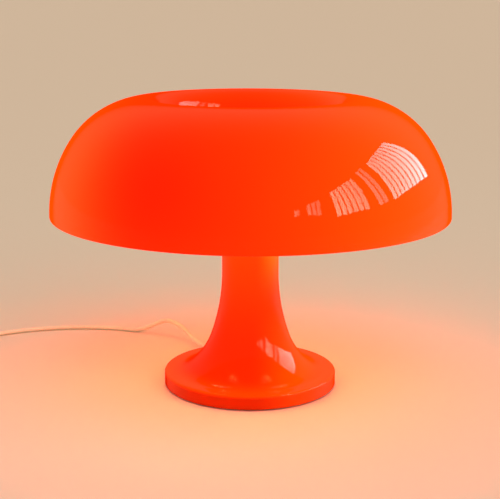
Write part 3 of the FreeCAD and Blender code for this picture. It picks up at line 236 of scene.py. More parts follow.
# %% [markdown]
# ## Turning pieces up from rings
# Most of this lamp is round. Such a piece starts as one circle, which is extruded ring by ring along its
# outline, each ring moved and resized to its own height and radius. The outline itself is walked along: it
# leans at some angle, and each arc adds to that lean, just as the mould's drawing would give it. A hollow
# arc has a negative radius.

# %% Walk along an outline
def walk(spot, lean, *arcs, every=4.0):
    """Stations (radius, height, lean) from a spot along arcs (radius, turn), in millimetres and degrees."""
    radius, height = spot
    stations = [(radius, height, lean)]
    for arc_radius, turn in arcs:
        centre_r = radius - arc_radius * sin(radians(lean))
        centre_z = height - arc_radius * cos(radians(lean))
        count = max(round(abs(turn) / every), 3)
        for index in range(1, count + 1):
            now = lean + turn * index / count
            stations.append((centre_r + arc_radius * sin(radians(now)),
                             centre_z + arc_radius * cos(radians(now)), now))
        radius, height, lean = stations[-1]
    return stations


def sunk(stations, wall):
    """The same stations a wall's thickness under the surface, walked backwards."""
    return [(radius - wall * sin(radians(lean)), height - wall * cos(radians(lean)), lean)
            for radius, height, lean in reversed(stations)]


# %% Turn up a ring piece
def deselect():
    bpy.ops.object.select_all(action="DESELECT")


def turn_up(name, stations, sides=96, sharp=35, close=True):
    """A round piece from stations. A radius of nothing closes it, and a return to the first ring joins it."""
    deselect()
    radius, height = stations[0][:2]
    bpy.ops.mesh.primitive_circle_add(vertices=sides, radius=radius * MM, location=(0, 0, height * MM))
    piece = bpy.context.object
    piece.name = name
    bpy.ops.object.transform_apply(location=True, rotation=False, scale=False)
    bpy.ops.object.mode_set(mode="EDIT")
    bpy.ops.mesh.select_all(action="SELECT")
    for station in stations[1:]:
        rise = (station[1] - height) * MM
        bpy.ops.mesh.extrude_edges_move(TRANSFORM_OT_translate={"value": (0, 0, rise)})
        if station[0] <= 0:
            bpy.ops.mesh.merge(type="CENTER")
            break
        share = station[0] / radius
        bpy.ops.transform.resize(value=(share, share, 1), center_override=(0, 0, station[1] * MM))
        radius, height = station[:2]
    bpy.ops.mesh.select_all(action="SELECT")
    bpy.ops.mesh.remove_doubles(threshold=0.01 * MM)
    if close:
        bpy.ops.mesh.fill_holes(sides=0)
    bpy.ops.mesh.normals_make_consistent(inside=False)
    bpy.ops.object.mode_set(mode="OBJECT")
    bpy.ops.object.shade_smooth_by_angle(angle=radians(sharp))
    return piece


def paint(piece, material):
    """Give a piece this material alone."""
    piece.data.materials.clear()
    piece.data.materials.append(material)


def stand_for(piece, body, slot, *nodes, material=None):
    """Let a piece ride on a body in place of its solids, with the finish of its slot or one of its own."""
    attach(piece, body)
    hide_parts(*nodes)
    paint(piece, material or finishes[slot])
    print(piece.name, "stands for", ", ".join(nodes))


# %% [markdown]
# ## The orange plastic
# The shade and the foot are moulded from the same glossy translucent orange plastic. The bulbs shine through it,
# so it is given a glow of its own, painted light on top of the light that falls on it. The glow isn't even:
# painted highlights make the shade more yellow over the crest and at its left and right sides, and the foot more
# yellow up the stem, on its right and on the disc's top; painted shade makes one side of the shade's front
# redder, its sunk middle darker, and the disc's side darker. Broad soft steps along the piece's own axes give
# that, which is why they are made from Object coordinates.

# %% Tools for a glow that changes with place
def smooth_step(value, low, high):
    """Nothing below a low value, all above a high one, and a soft change between them."""
    ramp = new_node(value, "MapRange", {"Value": value, "From Min": low, "From Max": high})
    ramp.interpolation_type = "SMOOTHSTEP"
    return ramp.outputs["Result"]


def reckon(how, first, second=0.0):
    """One step of arithmetic on what comes out of a node."""
    step = new_node(first, "Math", {0: first, 1: second})
    step.operation = how
    return step.outputs[0]


def split(place):
    """The three coordinates of a place."""
    return new_node(place, "SeparateXYZ", {"Vector": place}).outputs


def distance(place, spot):
    """How far a place is from a spot, in metres."""
    gap = new_node(place, "VectorMath", {0: place, 1: spot})
    gap.operation = "DISTANCE"
    return gap.outputs["Value"]


def nearness(place, spot, reach):
    """All at a spot, and nothing beyond its reach."""
    return smooth_step(distance(place, spot), reach, 0.0)


def washed(colour, *washes):
    """Lay one colour after another over a colour. Each comes after the two factors that limit it."""
    for factor, share, wash in washes:
        colour = tinted(reckon("MULTIPLY", factor, share), colour, wash)
    return colour


# %% [markdown]
# A mirror-like skin reflects most where it is seen edge on, and the pale surroundings would wash the orange out
# there. Layer Weight tells how edge on the surface is, and the gloss fades with it. A warm sheen keeps the edge
# soft.

# %% Mix the orange plastic
def glossy_orange(material, shader, place, colour, glow):
    """The gloss, the glow and the faint waviness that the shade and the foot share."""
    edge_on = new_node(shader, "LayerWeight").outputs["Facing"]
    feed(shader, {
        "Base Color": colour, "Emission Color": colour, "Emission Strength": glow,
        "Roughness": spread(cloudy(place, 60), 0.012, 0.026),
        "Specular IOR Level": spread(smooth_step(edge_on, 0.45, 0.82), 0.17, 0.0),
        "Specular Tint": (1.0, 0.48, 0.28),
        "Sheen Weight": 0.08, "Sheen Roughness": 0.25, "Sheen Tint": (1.0, 0.30, 0.02),
    })
    bumped(shader, cloudy(place, 14), 0.01)
    return material


def shade_finish():
    """Red-orange glow, with painted highlights that make it more yellow over the crest and at both sides, and
    painted shade that makes one side of the front redder and the sunk middle darker.
    """
    material, shader, place = new_material("shade plastic")
    across, _, height = split(place)
    colour = tinted(cloudy(place, 9, 1.0), (0.92, 0.020, 0.0002), (0.95, 0.027, 0.0002))
    # Painted highlights: the crest and the left and right sides are washed more yellow.
    crest = smooth_step(height, 0.212, 0.236)
    lit_right_side = smooth_step(across, -0.015, 0.150)
    lit_left_side = smooth_step(across, -0.070, -0.165)
    # Painted shade: one side of the front is washed redder and the sunk middle darker.
    shaded_red_patch = nearness(place, (-0.067, -0.135, 0.184), 0.088)
    shaded_sunk_middle = nearness(place, (0.0, 0.0, 0.198), 0.105)
    away_from_left = smooth_step(across, -0.060, -0.015)
    colour = washed(
        colour,
        (crest, 0.35, (0.96, 0.040, 0.0004)),
        (lit_right_side, 0.85, (0.96, 0.084, 0.0008)),
        (lit_left_side, 0.75, (0.97, 0.090, 0.001)),
        (shaded_red_patch, 0.75, (0.96, 0.006, 0.0002)),
        (shaded_sunk_middle, away_from_left, (0.60, 0.011, 0.0002)),
    )
    return glossy_orange(material, shader, place, colour, 0.60)


def foot_finish():
    """Deep orange glow with painted light and shade: more yellow up the stem, where the light of the bulbs
    reaches it, and on its right, lighter on the disc's top and darker on its side.
    """
    material, shader, place = new_material("foot plastic")
    across, _, height = split(place)
    colour = tinted(cloudy(place, 12, 1.0), (0.80, 0.014, 0.0002), (0.85, 0.018, 0.0002))
    # Painted light: more yellow up the stem, and lighter and more yellow on the outer top of the disc.
    up = smooth_step(height, 0.030, 0.125)
    inner = nearness(place, (0.0, 0.0, 0.012), 0.075)
    outer = smooth_step(inner, 0.30, 0.02)
    low = smooth_step(height, 0.030, 0.013)
    # Painted shade: the disc's side is darker.
    shaded_disc_side = smooth_step(height, 0.0125, 0.0095)
    # Painted highlight: the right half and, most of all, the stem's upper right are more yellow.
    half = smooth_step(across, 0.000, 0.045)
    lit_right_side = smooth_step(across, 0.004, 0.022)
    high = smooth_step(height, 0.075, 0.135)
    colour = washed(
        colour,
        (up, 0.8, (0.98, 0.042, 0.0004)),
        (outer, low, (0.90, 0.042, 0.0003)),
        (shaded_disc_side, 1.0, (0.44, 0.013, 0.0002)),
        (half, spread(outer, 0.75, 0.35), (0.95, 0.085, 0.0005)),
        (reckon("MULTIPLY", lit_right_side, high), 0.95, (1.0, 0.15, 0.001)),
    )
    return glossy_orange(material, shader, place, colour, 0.55)


shade_plastic = shade_finish()
foot_plastic = foot_finish()

# %% [markdown]
# ## The finishes of the small pieces
# Cast iron is rough and mottled, zinc-plated steel is dull and cloudy, brass and nickel are bright, and the
# plastics and the rubber differ in gloss and grain. One recipe gives them all, each with its own colours, gloss,
# and size and depth of grain.

# %% Mix the small pieces' finishes
finishes = {
    "orange_plastic": shade_plastic,
    "pad_rubber": moulded(
        "pad rubber", (0.018, 0.018, 0.018), (0.032, 0.031, 0.030), 0.75, grain=1500, depth=0.06),
    "black_plastic": moulded("black phenolic", (0.020, 0.019, 0.018), (0.030, 0.028, 0.027), 0.42, grain=1100),
    "steel": moulded("zinc-plated steel", (0.55, 0.56, 0.57), (0.68, 0.69, 0.70), 0.32, metal=1.0),
    "cast_iron": moulded(
        "cast iron", (0.06, 0.06, 0.062), (0.13, 0.128, 0.125), 0.62, metal=0.8, grain=1300, depth=0.12),
    "white_plastic": moulded("white moulding", (0.74, 0.73, 0.70), (0.82, 0.81, 0.78), 0.40),
    "brass": moulded("brass", (0.72, 0.50, 0.20), (0.82, 0.60, 0.28), 0.24, metal=1.0, grain=700, depth=0.01),
    "bulb_metal": moulded(
        "bulb cap metal", (0.66, 0.66, 0.67), (0.78, 0.78, 0.79), 0.26, metal=1.0, grain=700, depth=0.01),
    "cord_sheath": moulded("cord sheath", (0.80, 0.66, 0.46), (0.88, 0.76, 0.58), 0.38, grain=700),
    "switch_plastic": moulded(
        "cream switch plastic", (0.76, 0.66, 0.50), (0.82, 0.73, 0.58), 0.28, grain=500, depth=0.01),
    "plug_metal": moulded(
        "nickel plate", (0.70, 0.69, 0.66), (0.80, 0.79, 0.76), 0.18, metal=1.0, grain=500, depth=0.01),
    "live_insulation": moulded("brown insulation", (0.10, 0.035, 0.012), (0.15, 0.055, 0.02), 0.35),
    "neutral_insulation": moulded("blue insulation", (0.01, 0.05, 0.28), (0.02, 0.08, 0.38), 0.35),
}

# %% [markdown]
# The bulbs are of opal glass, lit from within. The glass scatters the filament's light, so the whole globe
# glows: brightest round its middle and a little darker at the neck, where the light leaves it askew.

# %% Light the bulbs' glass
BETWEEN_BULBS = (0, 0, 0.1698)


def lit_opal():
    """Opal glass that glows, more from the neck outwards."""
    material, shader, place = new_material("lit opal glass")
    outwards = smooth_step(distance(place, BETWEEN_BULBS), 0.052, 0.075)
    feed(shader, {
        "Base Color": tinted(cloudy(place, 30), (0.92, 0.86, 0.76), (0.96, 0.91, 0.83)),
        "Emission Color": tinted(outwards, (0.85, 0.36, 0.10), (1.0, 0.66, 0.34)), "Emission Strength": 1.3,
        "Coat Weight": 0.5, "Roughness": spread(cloudy(place, 80), 0.10, 0.16),
    })
    bumped(shader, cloudy(place, 25), 0.02)
    return material


finishes["bulb_glass"] = lit_opal()

# %% [markdown]
# The rod is threaded over its whole length, and the plug's pins have a dark sleeve at the root. Both are small
# and simple enough to be drawn in their finish: the thread as a wave of bumps along the rod, the sleeve as a
# change of finish along the pin.

# %% Draw the rod's thread and the pins' sleeves
THREAD_PITCH = 1.25
THREAD_HEIGHT = 0.35
SLEEVE_END = 92.0


def threaded_steel():
    """Steel with a ring of thread at every pitch along the upright axis."""
    material, shader, place = new_material("threaded steel")
    feed(shader, {
        "Base Color": tinted(cloudy(place, 60), (0.52, 0.53, 0.54), (0.66, 0.67, 0.68)),
        "Metallic": 1.0, "Roughness": spread(cloudy(place, 90), 0.24, 0.38),
    })
    wave = new_node(place, "TexWave", {"Vector": place, "Scale": 2 * pi / (20 * THREAD_PITCH * MM)})
    wave.bands_direction = "Z"
    bumped(shader, wave.outputs["Fac"], THREAD_HEIGHT)
    return material


def sleeved_pins():
    """A dark sleeve up to its end, and bare metal beyond it."""
    material, shader, place = new_material("sleeved pins")
    bare = reckon("GREATER_THAN", split(place)["Y"], SLEEVE_END * MM)
    sleeve = tinted(cloudy(place, 200), (0.022, 0.021, 0.020), (0.034, 0.032, 0.031))
    feed(shader, {
        "Base Color": tinted(bare, sleeve, (0.74, 0.73, 0.70)), "Metallic": bare,
        "Roughness": spread(cloudy(place, 300), 0.18, 0.30),
    })
    bumped(shader, cloudy(place, 900), 0.01)
    return material


# %% Give every solid its finish
for part in frame["record"]["subparts"]:
    paint(bpy.data.objects[part["node"]], finishes[part["material_slot"]])
paint(bpy.data.objects["tie_rod"], threaded_steel())
paint(bpy.data.objects["plug_pins"], sleeved_pins())

# %% [markdown]
# ## The shade
# The shade is one thin moulding. From its flat seat in the middle it climbs a bowl, curls over a lip to the
# crest, falls in ever tighter arcs over the shoulder, and ends in an upright wall with a rounded rim. The
# inside follows the outside at the wall's thickness.

# %% Turn up the shade
SEAT = 187.4
WALL = 2.5
SHADE_RADIUS = 160.0
FLOOR_RADIUS = 25.0
HOLE_RADIUS = 11.0
BOWL, LIP, CREST, SHOULDER = 46.0, 16.0, 60.0, 74.0
LIP_TURN, CREST_TURN, SHOULDER_TURN = 75.0, 18.0, 38.0

over_the_shoulder = walk((FLOOR_RADIUS, SEAT + WALL), 0, (-BOWL, -LIP_TURN), (LIP, LIP_TURN),
                         (CREST, CREST_TURN), (SHOULDER, SHOULDER_TURN), every=3.0)
shoulder_end = over_the_shoulder[-1]
WALL_TURN = 90 - CREST_TURN - SHOULDER_TURN
wall_arc = (SHADE_RADIUS - shoulder_end[0]) / (1 - sin(radians(90 - WALL_TURN)))
outside = over_the_shoulder + walk(shoulder_end[:2], shoulder_end[2], (wall_arc, WALL_TURN), every=2.0)[1:]
rim = walk(outside[-1][:2], 90, (WALL / 2, 180), every=30)[1:-1]
hole_edge = [(HOLE_RADIUS, SEAT + WALL, 0)]
shade_line = (hole_edge + outside + rim + sunk(outside, WALL)
              + [(HOLE_RADIUS, SEAT, 0), (HOLE_RADIUS, SEAT + WALL, 0)])
shade = turn_up("shade_moulded", shade_line, sides=192)
stand_for(shade, "shade", "orange_plastic", "shade")
print("shade from", round(rim[len(rim) // 2][1], 1), "to", round(max(spot[1] for spot in outside), 1), "mm")

# %% [markdown]
# ## The foot
# The foot and its stem are one moulding too. The stem is straight, then flares in three arcs that grow
# tighter towards the disc, whose edge is rounded over. It is hollow, with the weight inside it.

# %% Turn up the foot
STEM_RADIUS = 23.0
STEM_TOP = 152.4
STEM_PLATE = 3.0
ROD_HOLE = 4.3
FLARE_START = 95.0
STEM_ARC, FLARE_ARC = 157.0, 55.0
STEM_TURN, FLARE_TURN = 20.0, 32.0
BASE_RADIUS = 70.5
DISC_HEIGHT = 12.5
DISC_ROUNDING = 1.8
FOOT_GAP = 1.2
FOOT_EDGE = 0.6

flare = walk((STEM_RADIUS, FLARE_START), 90, (-STEM_ARC, -STEM_TURN), (-FLARE_ARC, -FLARE_TURN), every=2.0)
flare_end = flare[-1]
toe_arc = (flare_end[1] - DISC_HEIGHT) / (1 - cos(radians(flare_end[2])))
toe = walk(flare_end[:2], flare_end[2], (-toe_arc, -flare_end[2]), every=3.0)[1:]
disc_edge = walk((BASE_RADIUS - DISC_ROUNDING, DISC_HEIGHT), 0, (DISC_ROUNDING, 90), every=12)
under_edge = walk((BASE_RADIUS, FOOT_GAP + FOOT_EDGE), 90, (FOOT_EDGE, 90), every=20)
disc_inside = BASE_RADIUS - WALL
foot_line = (
    [(ROD_HOLE, STEM_TOP, 0), (STEM_RADIUS - FOOT_EDGE, STEM_TOP, 0), (STEM_RADIUS, STEM_TOP - FOOT_EDGE, 90)]
    + flare + toe + disc_edge + under_edge
    + [(disc_inside, FOOT_GAP, 0), (disc_inside, DISC_HEIGHT - WALL, 0)]
    + sunk(flare + toe, WALL)
    + [(STEM_RADIUS - WALL, STEM_TOP - STEM_PLATE, 0), (ROD_HOLE, STEM_TOP - STEM_PLATE, 0),
       (ROD_HOLE, STEM_TOP, 0)]
)
foot = turn_up("foot_moulded", foot_line, sides=128)
stand_for(foot, "base", "orange_plastic", "foot_stem", material=foot_plastic)
print("the toe's arc is", round(toe_arc, 2), "mm and ends", round(toe[-1][0], 1), "mm out")

# %% [markdown]
# ## The knob in the sunk centre
# The shade is held down by a shallow domed knob of the same plastic. It is hollow underneath, with a boss round
# its brass thread. It is turned up from the boss outwards, over its rounded edge and up the dome to the pole.

# %% Turn up the knob
KNOB_FLOOR = SEAT + WALL
KNOB_RADIUS, KNOB_EDGE, KNOB_TOP = 22.0, 2.5, 12.5
BOSS_RADIUS, INSERT_RADIUS, INSERT_BOTTOM, INSERT_TOP = 8.25, 7.0, 5.8, 10.4
KNOB_SOFTNESS = 0.6
dome_rise = KNOB_TOP - KNOB_EDGE
dome = (KNOB_RADIUS ** 2 + dome_rise ** 2) / (2 * dome_rise)
dome_lean = degrees(asin(KNOB_RADIUS / dome))


def under_dome(reach):
    """The height of the dome's inner face at a distance from its middle."""
    return KNOB_TOP - dome + sqrt(dome ** 2 - reach ** 2) - WALL


knob_inside = KNOB_RADIUS - WALL
knob_line = [
    (INSERT_RADIUS, INSERT_TOP), (INSERT_RADIUS, INSERT_BOTTOM), (BOSS_RADIUS, INSERT_BOTTOM),
    (BOSS_RADIUS, under_dome(BOSS_RADIUS)), (knob_inside, under_dome(knob_inside)), (knob_inside, 0.0),
    (KNOB_RADIUS - KNOB_SOFTNESS, 0.0), (KNOB_RADIUS, KNOB_SOFTNESS),
]
over_the_dome = walk((KNOB_RADIUS, KNOB_EDGE), dome_lean, (dome, -dome_lean), every=2.5)
knob_line += [station[:2] for station in over_the_dome[:-1]] + [(0, KNOB_TOP)]
knob = turn_up("knob_moulded", [(radius, KNOB_FLOOR + height) for radius, height in knob_line], sides=96)
stand_for(knob, "knob", "orange_plastic", "centre_knob")

# %% [markdown]
# ## Laying a turned piece down
# The lampholders and bulbs lie level and point outwards at the four corners. Each is turned up about the upright
# axis, with the distance from the lamp's middle as its height, and then laid down.

# %% Lay a piece along its direction
HUB_WALL, HUB_MARGIN, FLANGE_RADIUS = 2.5, 0.4, 14.6
HOLDER_HEIGHT = STEM_TOP + HUB_WALL + HUB_MARGIN + FLANGE_RADIUS
HOLDER_AZIMUTHS = (45, 135, 225, 315)


def take(piece):
    """Select this piece alone."""
    deselect()
    piece.select_set(True)
    bpy.context.view_layer.objects.active = piece


def set_down(piece, place):
    """Bring a piece to its place, and keep the place in its mesh."""
    piece.matrix_world = place
    take(piece)
    bpy.ops.object.transform_apply(location=True, rotation=True, scale=True)
    return piece


def lay_down(piece, azimuth, height):
    """Turn a piece's upright axis outwards at an azimuth, at a height in millimetres."""
    return set_down(piece, Matrix.Translation((0, 0, height * MM)) @ Matrix.Rotation(radians(azimuth), 4, "Z")
                    @ Matrix.Rotation(radians(90), 4, "Y"))


def copy_of(piece, name):
    """A copy with its own mesh."""
    twin = piece.copy()
    twin.data = piece.data.copy()
    twin.name = name
    bpy.context.scene.collection.objects.link(twin)
    return twin


# %% [markdown]
# ## The four lampholders
# A lampholder is a thick-walled phenolic socket. A flange bears on the hub, and its front skirt has shallow
# grooves that fingers can grip. Its bore is lined by a brass sleeve, which stays as the solid is, without thread.

# %% Turn up one lampholder and copy it
PIN_HOLE, NECK_RADIUS, SKIRT_RADIUS, BORE_RADIUS = 1.55, 12.6, 13.6, 7.8
HOLDER_BACK, FLANGE_BACK, FLANGE_FRONT, BORE_FLOOR, HOLDER_FRONT = 18.8, 24.0, 26.0, 31.5, 50.0
HOLDER_GROOVES, GROOVE_START, GROOVE_PITCH, GROOVE_DEPTH = 6, 29, 3, 0.5
HOLDER_EDGE = 0.4

holder_line = [
    (PIN_HOLE, HOLDER_BACK), (NECK_RADIUS - 0.5, HOLDER_BACK), (NECK_RADIUS, HOLDER_BACK + 0.5),
    (NECK_RADIUS, FLANGE_BACK), (FLANGE_RADIUS - HOLDER_EDGE, FLANGE_BACK),
    (FLANGE_RADIUS, FLANGE_BACK + HOLDER_EDGE), (FLANGE_RADIUS, FLANGE_FRONT - HOLDER_EDGE),
    (FLANGE_RADIUS - HOLDER_EDGE, FLANGE_FRONT), (SKIRT_RADIUS, FLANGE_FRONT),
]
for groove in range(HOLDER_GROOVES):
    start = GROOVE_START + GROOVE_PITCH * groove
    floor_radius = SKIRT_RADIUS - GROOVE_DEPTH
    holder_line += [(SKIRT_RADIUS, start), (floor_radius, start + 0.4), (floor_radius, start + 1.1),
                    (SKIRT_RADIUS, start + 1.5)]
holder_line += [
    (SKIRT_RADIUS, HOLDER_FRONT - 1.0), (SKIRT_RADIUS - 0.3, HOLDER_FRONT - 0.3),
    (SKIRT_RADIUS - 1.0, HOLDER_FRONT), (BORE_RADIUS + HOLDER_EDGE, HOLDER_FRONT),
    (BORE_RADIUS, HOLDER_FRONT - HOLDER_EDGE), (BORE_RADIUS, BORE_FLOOR), (PIN_HOLE, BORE_FLOOR),
    (PIN_HOLE, HOLDER_BACK),
]
holder = turn_up("socket_pattern", holder_line, sides=64)
for number, azimuth in enumerate(HOLDER_AZIMUTHS, 1):
    socket = lay_down(copy_of(holder, f"socket_{number}"), azimuth, HOLDER_HEIGHT)
    stand_for(socket, "base", "black_plastic", f"lampholder_{number}")
bpy.data.objects.remove(holder)

# %% [markdown]
# ## The four bulbs
# Each bulb is a round opal globe on a short neck, in a 14 mm screw cap. The cap's thread is rolled from thin
# metal, so it is a soft wave from ring to ring. The globe is one sheet of glass, thickened by Solidify.

# %% Turn up one bulb and copy it
CAP_START, CAP_RADIUS, CAP_FLARE, CAP_TIP = 32.3, 6.85, 8.0, 2.4
CAP_PITCH, CAP_THREADS, THREAD_DEPTH, RINGS_A_THREAD = 2.82, 5, 0.42, 6
GLASS_START, GLOBE_RADIUS, NECK_ARC, BULB_LENGTH, GLASS = 52.5, 22.5, 12.0, 76.2, 0.8

cap_line = [(CAP_FLARE - 0.3, GLASS_START), (CAP_FLARE, GLASS_START - 0.3), (CAP_RADIUS, GLASS_START - 2.0)]
for step in range(CAP_THREADS * RINGS_A_THREAD + 1):
    turns = step / RINGS_A_THREAD
    hollow = (1 - cos(2 * pi * turns)) / 2
    cap_line.append((CAP_RADIUS - THREAD_DEPTH * hollow, GLASS_START - 2.3 - CAP_PITCH * turns))
cap_line += [(CAP_RADIUS - 0.5, CAP_START + 3.0), (CAP_TIP + 1.2, CAP_START + 1.2), (CAP_TIP, CAP_START + 0.8),
             (CAP_TIP, CAP_START + 0.3), (CAP_TIP - 0.5, CAP_START), (0, CAP_START)]
cap = turn_up("cap_pattern", cap_line, sides=48, sharp=50)

globe_centre = CAP_START + BULB_LENGTH - GLOBE_RADIUS
blend_radius = GLOBE_RADIUS + NECK_ARC
drop = sqrt(blend_radius ** 2 - (CAP_FLARE + NECK_ARC) ** 2)
neck_turn = degrees(asin(drop / blend_radius))
round_the_globe = walk((CAP_FLARE, globe_centre - drop), 90,
                       (-NECK_ARC, neck_turn), (GLOBE_RADIUS, -90 - neck_turn), every=5)
globe_line = [(CAP_FLARE, GLASS_START)] + [station[:2] for station in round_the_globe[:-1]]
globe_line.append((0, globe_centre + GLOBE_RADIUS))
globe = turn_up("globe_pattern", globe_line, sides=64, close=False)
wall = globe.modifiers.new("glass", "SOLIDIFY")
wall.thickness = GLASS * MM
wall.offset = -1
bpy.ops.object.modifier_apply(modifier=wall.name)

for number, azimuth in enumerate(HOLDER_AZIMUTHS, 1):
    for pattern, name, slot, node in ((cap, "screw_cap", "bulb_metal", "bulb_cap"),
                                      (globe, "opal_globe", "bulb_glass", "bulb_globe")):
        piece = lay_down(copy_of(pattern, f"{name}_{number}"), azimuth, HOLDER_HEIGHT)
        stand_for(piece, f"bulb_{number}", slot, f"{node}_{number}")
bpy.data.objects.remove(cap)
bpy.data.objects.remove(globe)

# %% [markdown]
# ## Under the foot
# A rubber ring keeps the lamp from sliding. Two fine grooves run round its lower face. It is turned up as a
# closed loop.

# %% Turn up the rubber ring
PAD_RADIUS, PAD_WIDTH, PAD_HEIGHT, PAD_EDGE = 67.0, 5.2, 1.5, 0.4
pad_inside = PAD_RADIUS - PAD_WIDTH
pad_line = [(pad_inside, PAD_HEIGHT), (PAD_RADIUS, PAD_HEIGHT), (PAD_RADIUS, PAD_EDGE),
            (PAD_RADIUS - PAD_EDGE, 0.0)]
for groove in (3.4, 1.4):
    middle = pad_inside + groove
    pad_line += [(middle + 0.5, 0.0), (middle + 0.2, 0.4), (middle - 0.2, 0.4), (middle - 0.5, 0.0)]
pad_line += [(pad_inside + PAD_EDGE, 0.0), (pad_inside, PAD_EDGE), (pad_inside, PAD_HEIGHT)]
pad = turn_up("rubber_ring", pad_line, sides=128)
stand_for(pad, "base", "pad_rubber", "base_pad")

# %% [markdown]
# ## Screws with a cross recess
# Three small pan-head screws hold the plate under the foot. The head is a low dome with a rounded edge, and two
# crossed bars cut from it leave the recess for the driver. The lamp's other screws stay plain.

# %% Make the screws under the foot
SCREW_RADIUS, HEAD_RADIUS, HEAD_HEIGHT = 1.4, 2.4, 1.2
RECESS_LENGTH, RECESS_WIDTH, RECESS_DEPTH = 2.6, 0.6, 0.6


def block(centre, size, turn=0):
    """A block at a centre, of a size in millimetres, turned about the upright axis by so many degrees."""
    deselect()
    bpy.ops.mesh.primitive_cube_add(size=1, location=metres(centre), rotation=(0, 0, radians(turn)),
                                    scale=metres(size))
    return bpy.context.object


def cut_away(piece, cutter):
    """Cut one shape out of a piece. The cutter is used up."""
    cut = piece.modifiers.new("cut", "BOOLEAN")
    cut.object = cutter
    take(piece)
    bpy.ops.object.modifier_apply(modifier=cut.name)
    bpy.data.objects.remove(cutter)


def pan_screw(name, length, spot):
    """A screw whose head looks down, its face that bears at a spot, in millimetres."""
    line = [(SCREW_RADIUS, length), (SCREW_RADIUS, 0), (HEAD_RADIUS, 0), (HEAD_RADIUS, -0.5),
            (HEAD_RADIUS - 0.3, -0.95), (HEAD_RADIUS - 0.9, -HEAD_HEIGHT)]
    screw = turn_up(name, line, sides=32)
    for turn in (0, 90):
        cut_away(screw, block((0, 0, -HEAD_HEIGHT), (RECESS_LENGTH, RECESS_WIDTH, 2 * RECESS_DEPTH), turn))
    return set_down(screw, Matrix.Translation(metres(spot)))


def joined(name, pieces):
    """Several pieces as one."""
    deselect()
    for piece in pieces:
        piece.select_set(True)
    bpy.context.view_layer.objects.active = pieces[0]
    bpy.ops.object.join()
    pieces[0].name = name
    return pieces[0]


COVER_SCREWS, SCREW_CIRCLE, SCREW_AZIMUTH, SCREW_LENGTH, COVER_BOTTOM = 3, 58.0, 58, 7.7, 1.5
screws = []
for index in range(COVER_SCREWS):
    azimuth = radians(SCREW_AZIMUTH + 360 / COVER_SCREWS * index)
    spot = (SCREW_CIRCLE * cos(azimuth), SCREW_CIRCLE * sin(azimuth), COVER_BOTTOM)
    screws.append(pan_screw("cover_screw", SCREW_LENGTH, spot))
stand_for(joined("pan_screws_under_foot", screws), "base", "steel", "cover_screws")

# %% [markdown]
# ## Where the cord leaves the foot
# A soft tapered boot keeps the cord from kinking. A collar holds it inside the wall, and rings moulded round the
# outside let it bend evenly.

# %% Turn up the boot
CORD_AZIMUTH, EXIT_HEIGHT = 118.0, 6.75
BOOT_START, BOOT_END, BOOT_RADIUS, BOOT_TIP, BOOT_BORE = 70.8, 86.0, 3.6, 2.6, 2.15
COLLAR_START, COLLAR_END, COLLAR_RADIUS, BOOT_NECK = 65.5, 67.7, 3.1, 2.7
BOOT_RINGS, BOOT_RINGS_START, BOOT_RING_PITCH = 4, 2.6, 2.8


def taper(first, last, start):
    """The radius at a place between two others, each given as radius and place."""
    return first[0] + (last[0] - first[0]) * (start - first[1]) / (last[1] - first[1])


boot_line = [
    (BOOT_BORE, COLLAR_START), (COLLAR_RADIUS, COLLAR_START), (COLLAR_RADIUS, COLLAR_END),
    (BOOT_NECK, COLLAR_END), (BOOT_NECK, BOOT_START), (BOOT_RADIUS - 0.3, BOOT_START),
    (BOOT_RADIUS, BOOT_START + 0.3), (BOOT_RADIUS, BOOT_START + 2.2),
]
for ring in range(BOOT_RINGS):
    start = BOOT_START + BOOT_RINGS_START + BOOT_RING_PITCH * ring
    reach = taper((BOOT_RADIUS, BOOT_START), (BOOT_TIP, BOOT_END), start)
    boot_line += [(reach - 0.55, start), (reach - 0.55, start + 0.9), (reach - 0.05, start + 1.2),
                  (reach - 0.10, start + 2.2)]
boot_line += [(BOOT_TIP, BOOT_END - 0.4), (BOOT_TIP - 0.2, BOOT_END), (BOOT_BORE, BOOT_END),
              (BOOT_BORE, COLLAR_START)]
boot = lay_down(turn_up("boot_with_rings", boot_line, sides=40), CORD_AZIMUTH, EXIT_HEIGHT)
stand_for(boot, "base", "cord_sheath", "strain_relief")

# %% [markdown]
# ## The wires inside
# Inside the foot the cord's sheath ends at the terminal block. A brown and a blue wire go on from there, up the
# stem and round behind the lampholders. They bend freely, so each is a smooth NURBS spline with a round section.

# %% Lay the wires inside
def around(out, aside, azimuth):
    """A point given by how far out and how far sideways it lies at an azimuth."""
    turn = radians(azimuth)
    return out * cos(turn) - aside * sin(turn), out * sin(turn) + aside * cos(turn)


BLOCK_OUTER, BLOCK_INNER, BESIDE_WEIGHT, BESIDE_ROD = 46.0, 33.0, 28.3, 21.0
WIRE_RING, WIRE_RADIUS, WIRES_ASIDE, RING_APART = 13.0, 1.0, 4.0, 5.0
RING_START, RING_TURN, RING_STEPS, HALF_STEP = 23, 298, 16, 9.3


def wire_route(side, ring_height):
    """Up from the terminal block, through the stem's top and round the hub."""
    aside = WIRES_ASIDE * side
    route = [(*around(out, shift, CORD_AZIMUTH), height) for out, shift, height in (
        (BLOCK_INNER, aside, 8.0), (BESIDE_WEIGHT + 0.6, aside, 8.3), (BESIDE_WEIGHT, aside, 13.0),
        (BESIDE_WEIGHT, aside, 36.0), (BESIDE_WEIGHT - 1.0, aside, 44.0), (BESIDE_ROD, aside / 2, 60.0))]
    start = 90 + side * RING_START
    route += [(*around(WIRE_RING, -aside, start), height) for height in (103.0, 140.0, ring_height - 4.0)]
    route += [(*around(WIRE_RING, 3.0 * -side, start), ring_height - 0.8)]
    for index in range(RING_STEPS + 1):
        azimuth = start + side * RING_TURN * index / RING_STEPS
        route.append((*around(WIRE_RING / cos(radians(HALF_STEP)), 0, azimuth), ring_height))
    return route


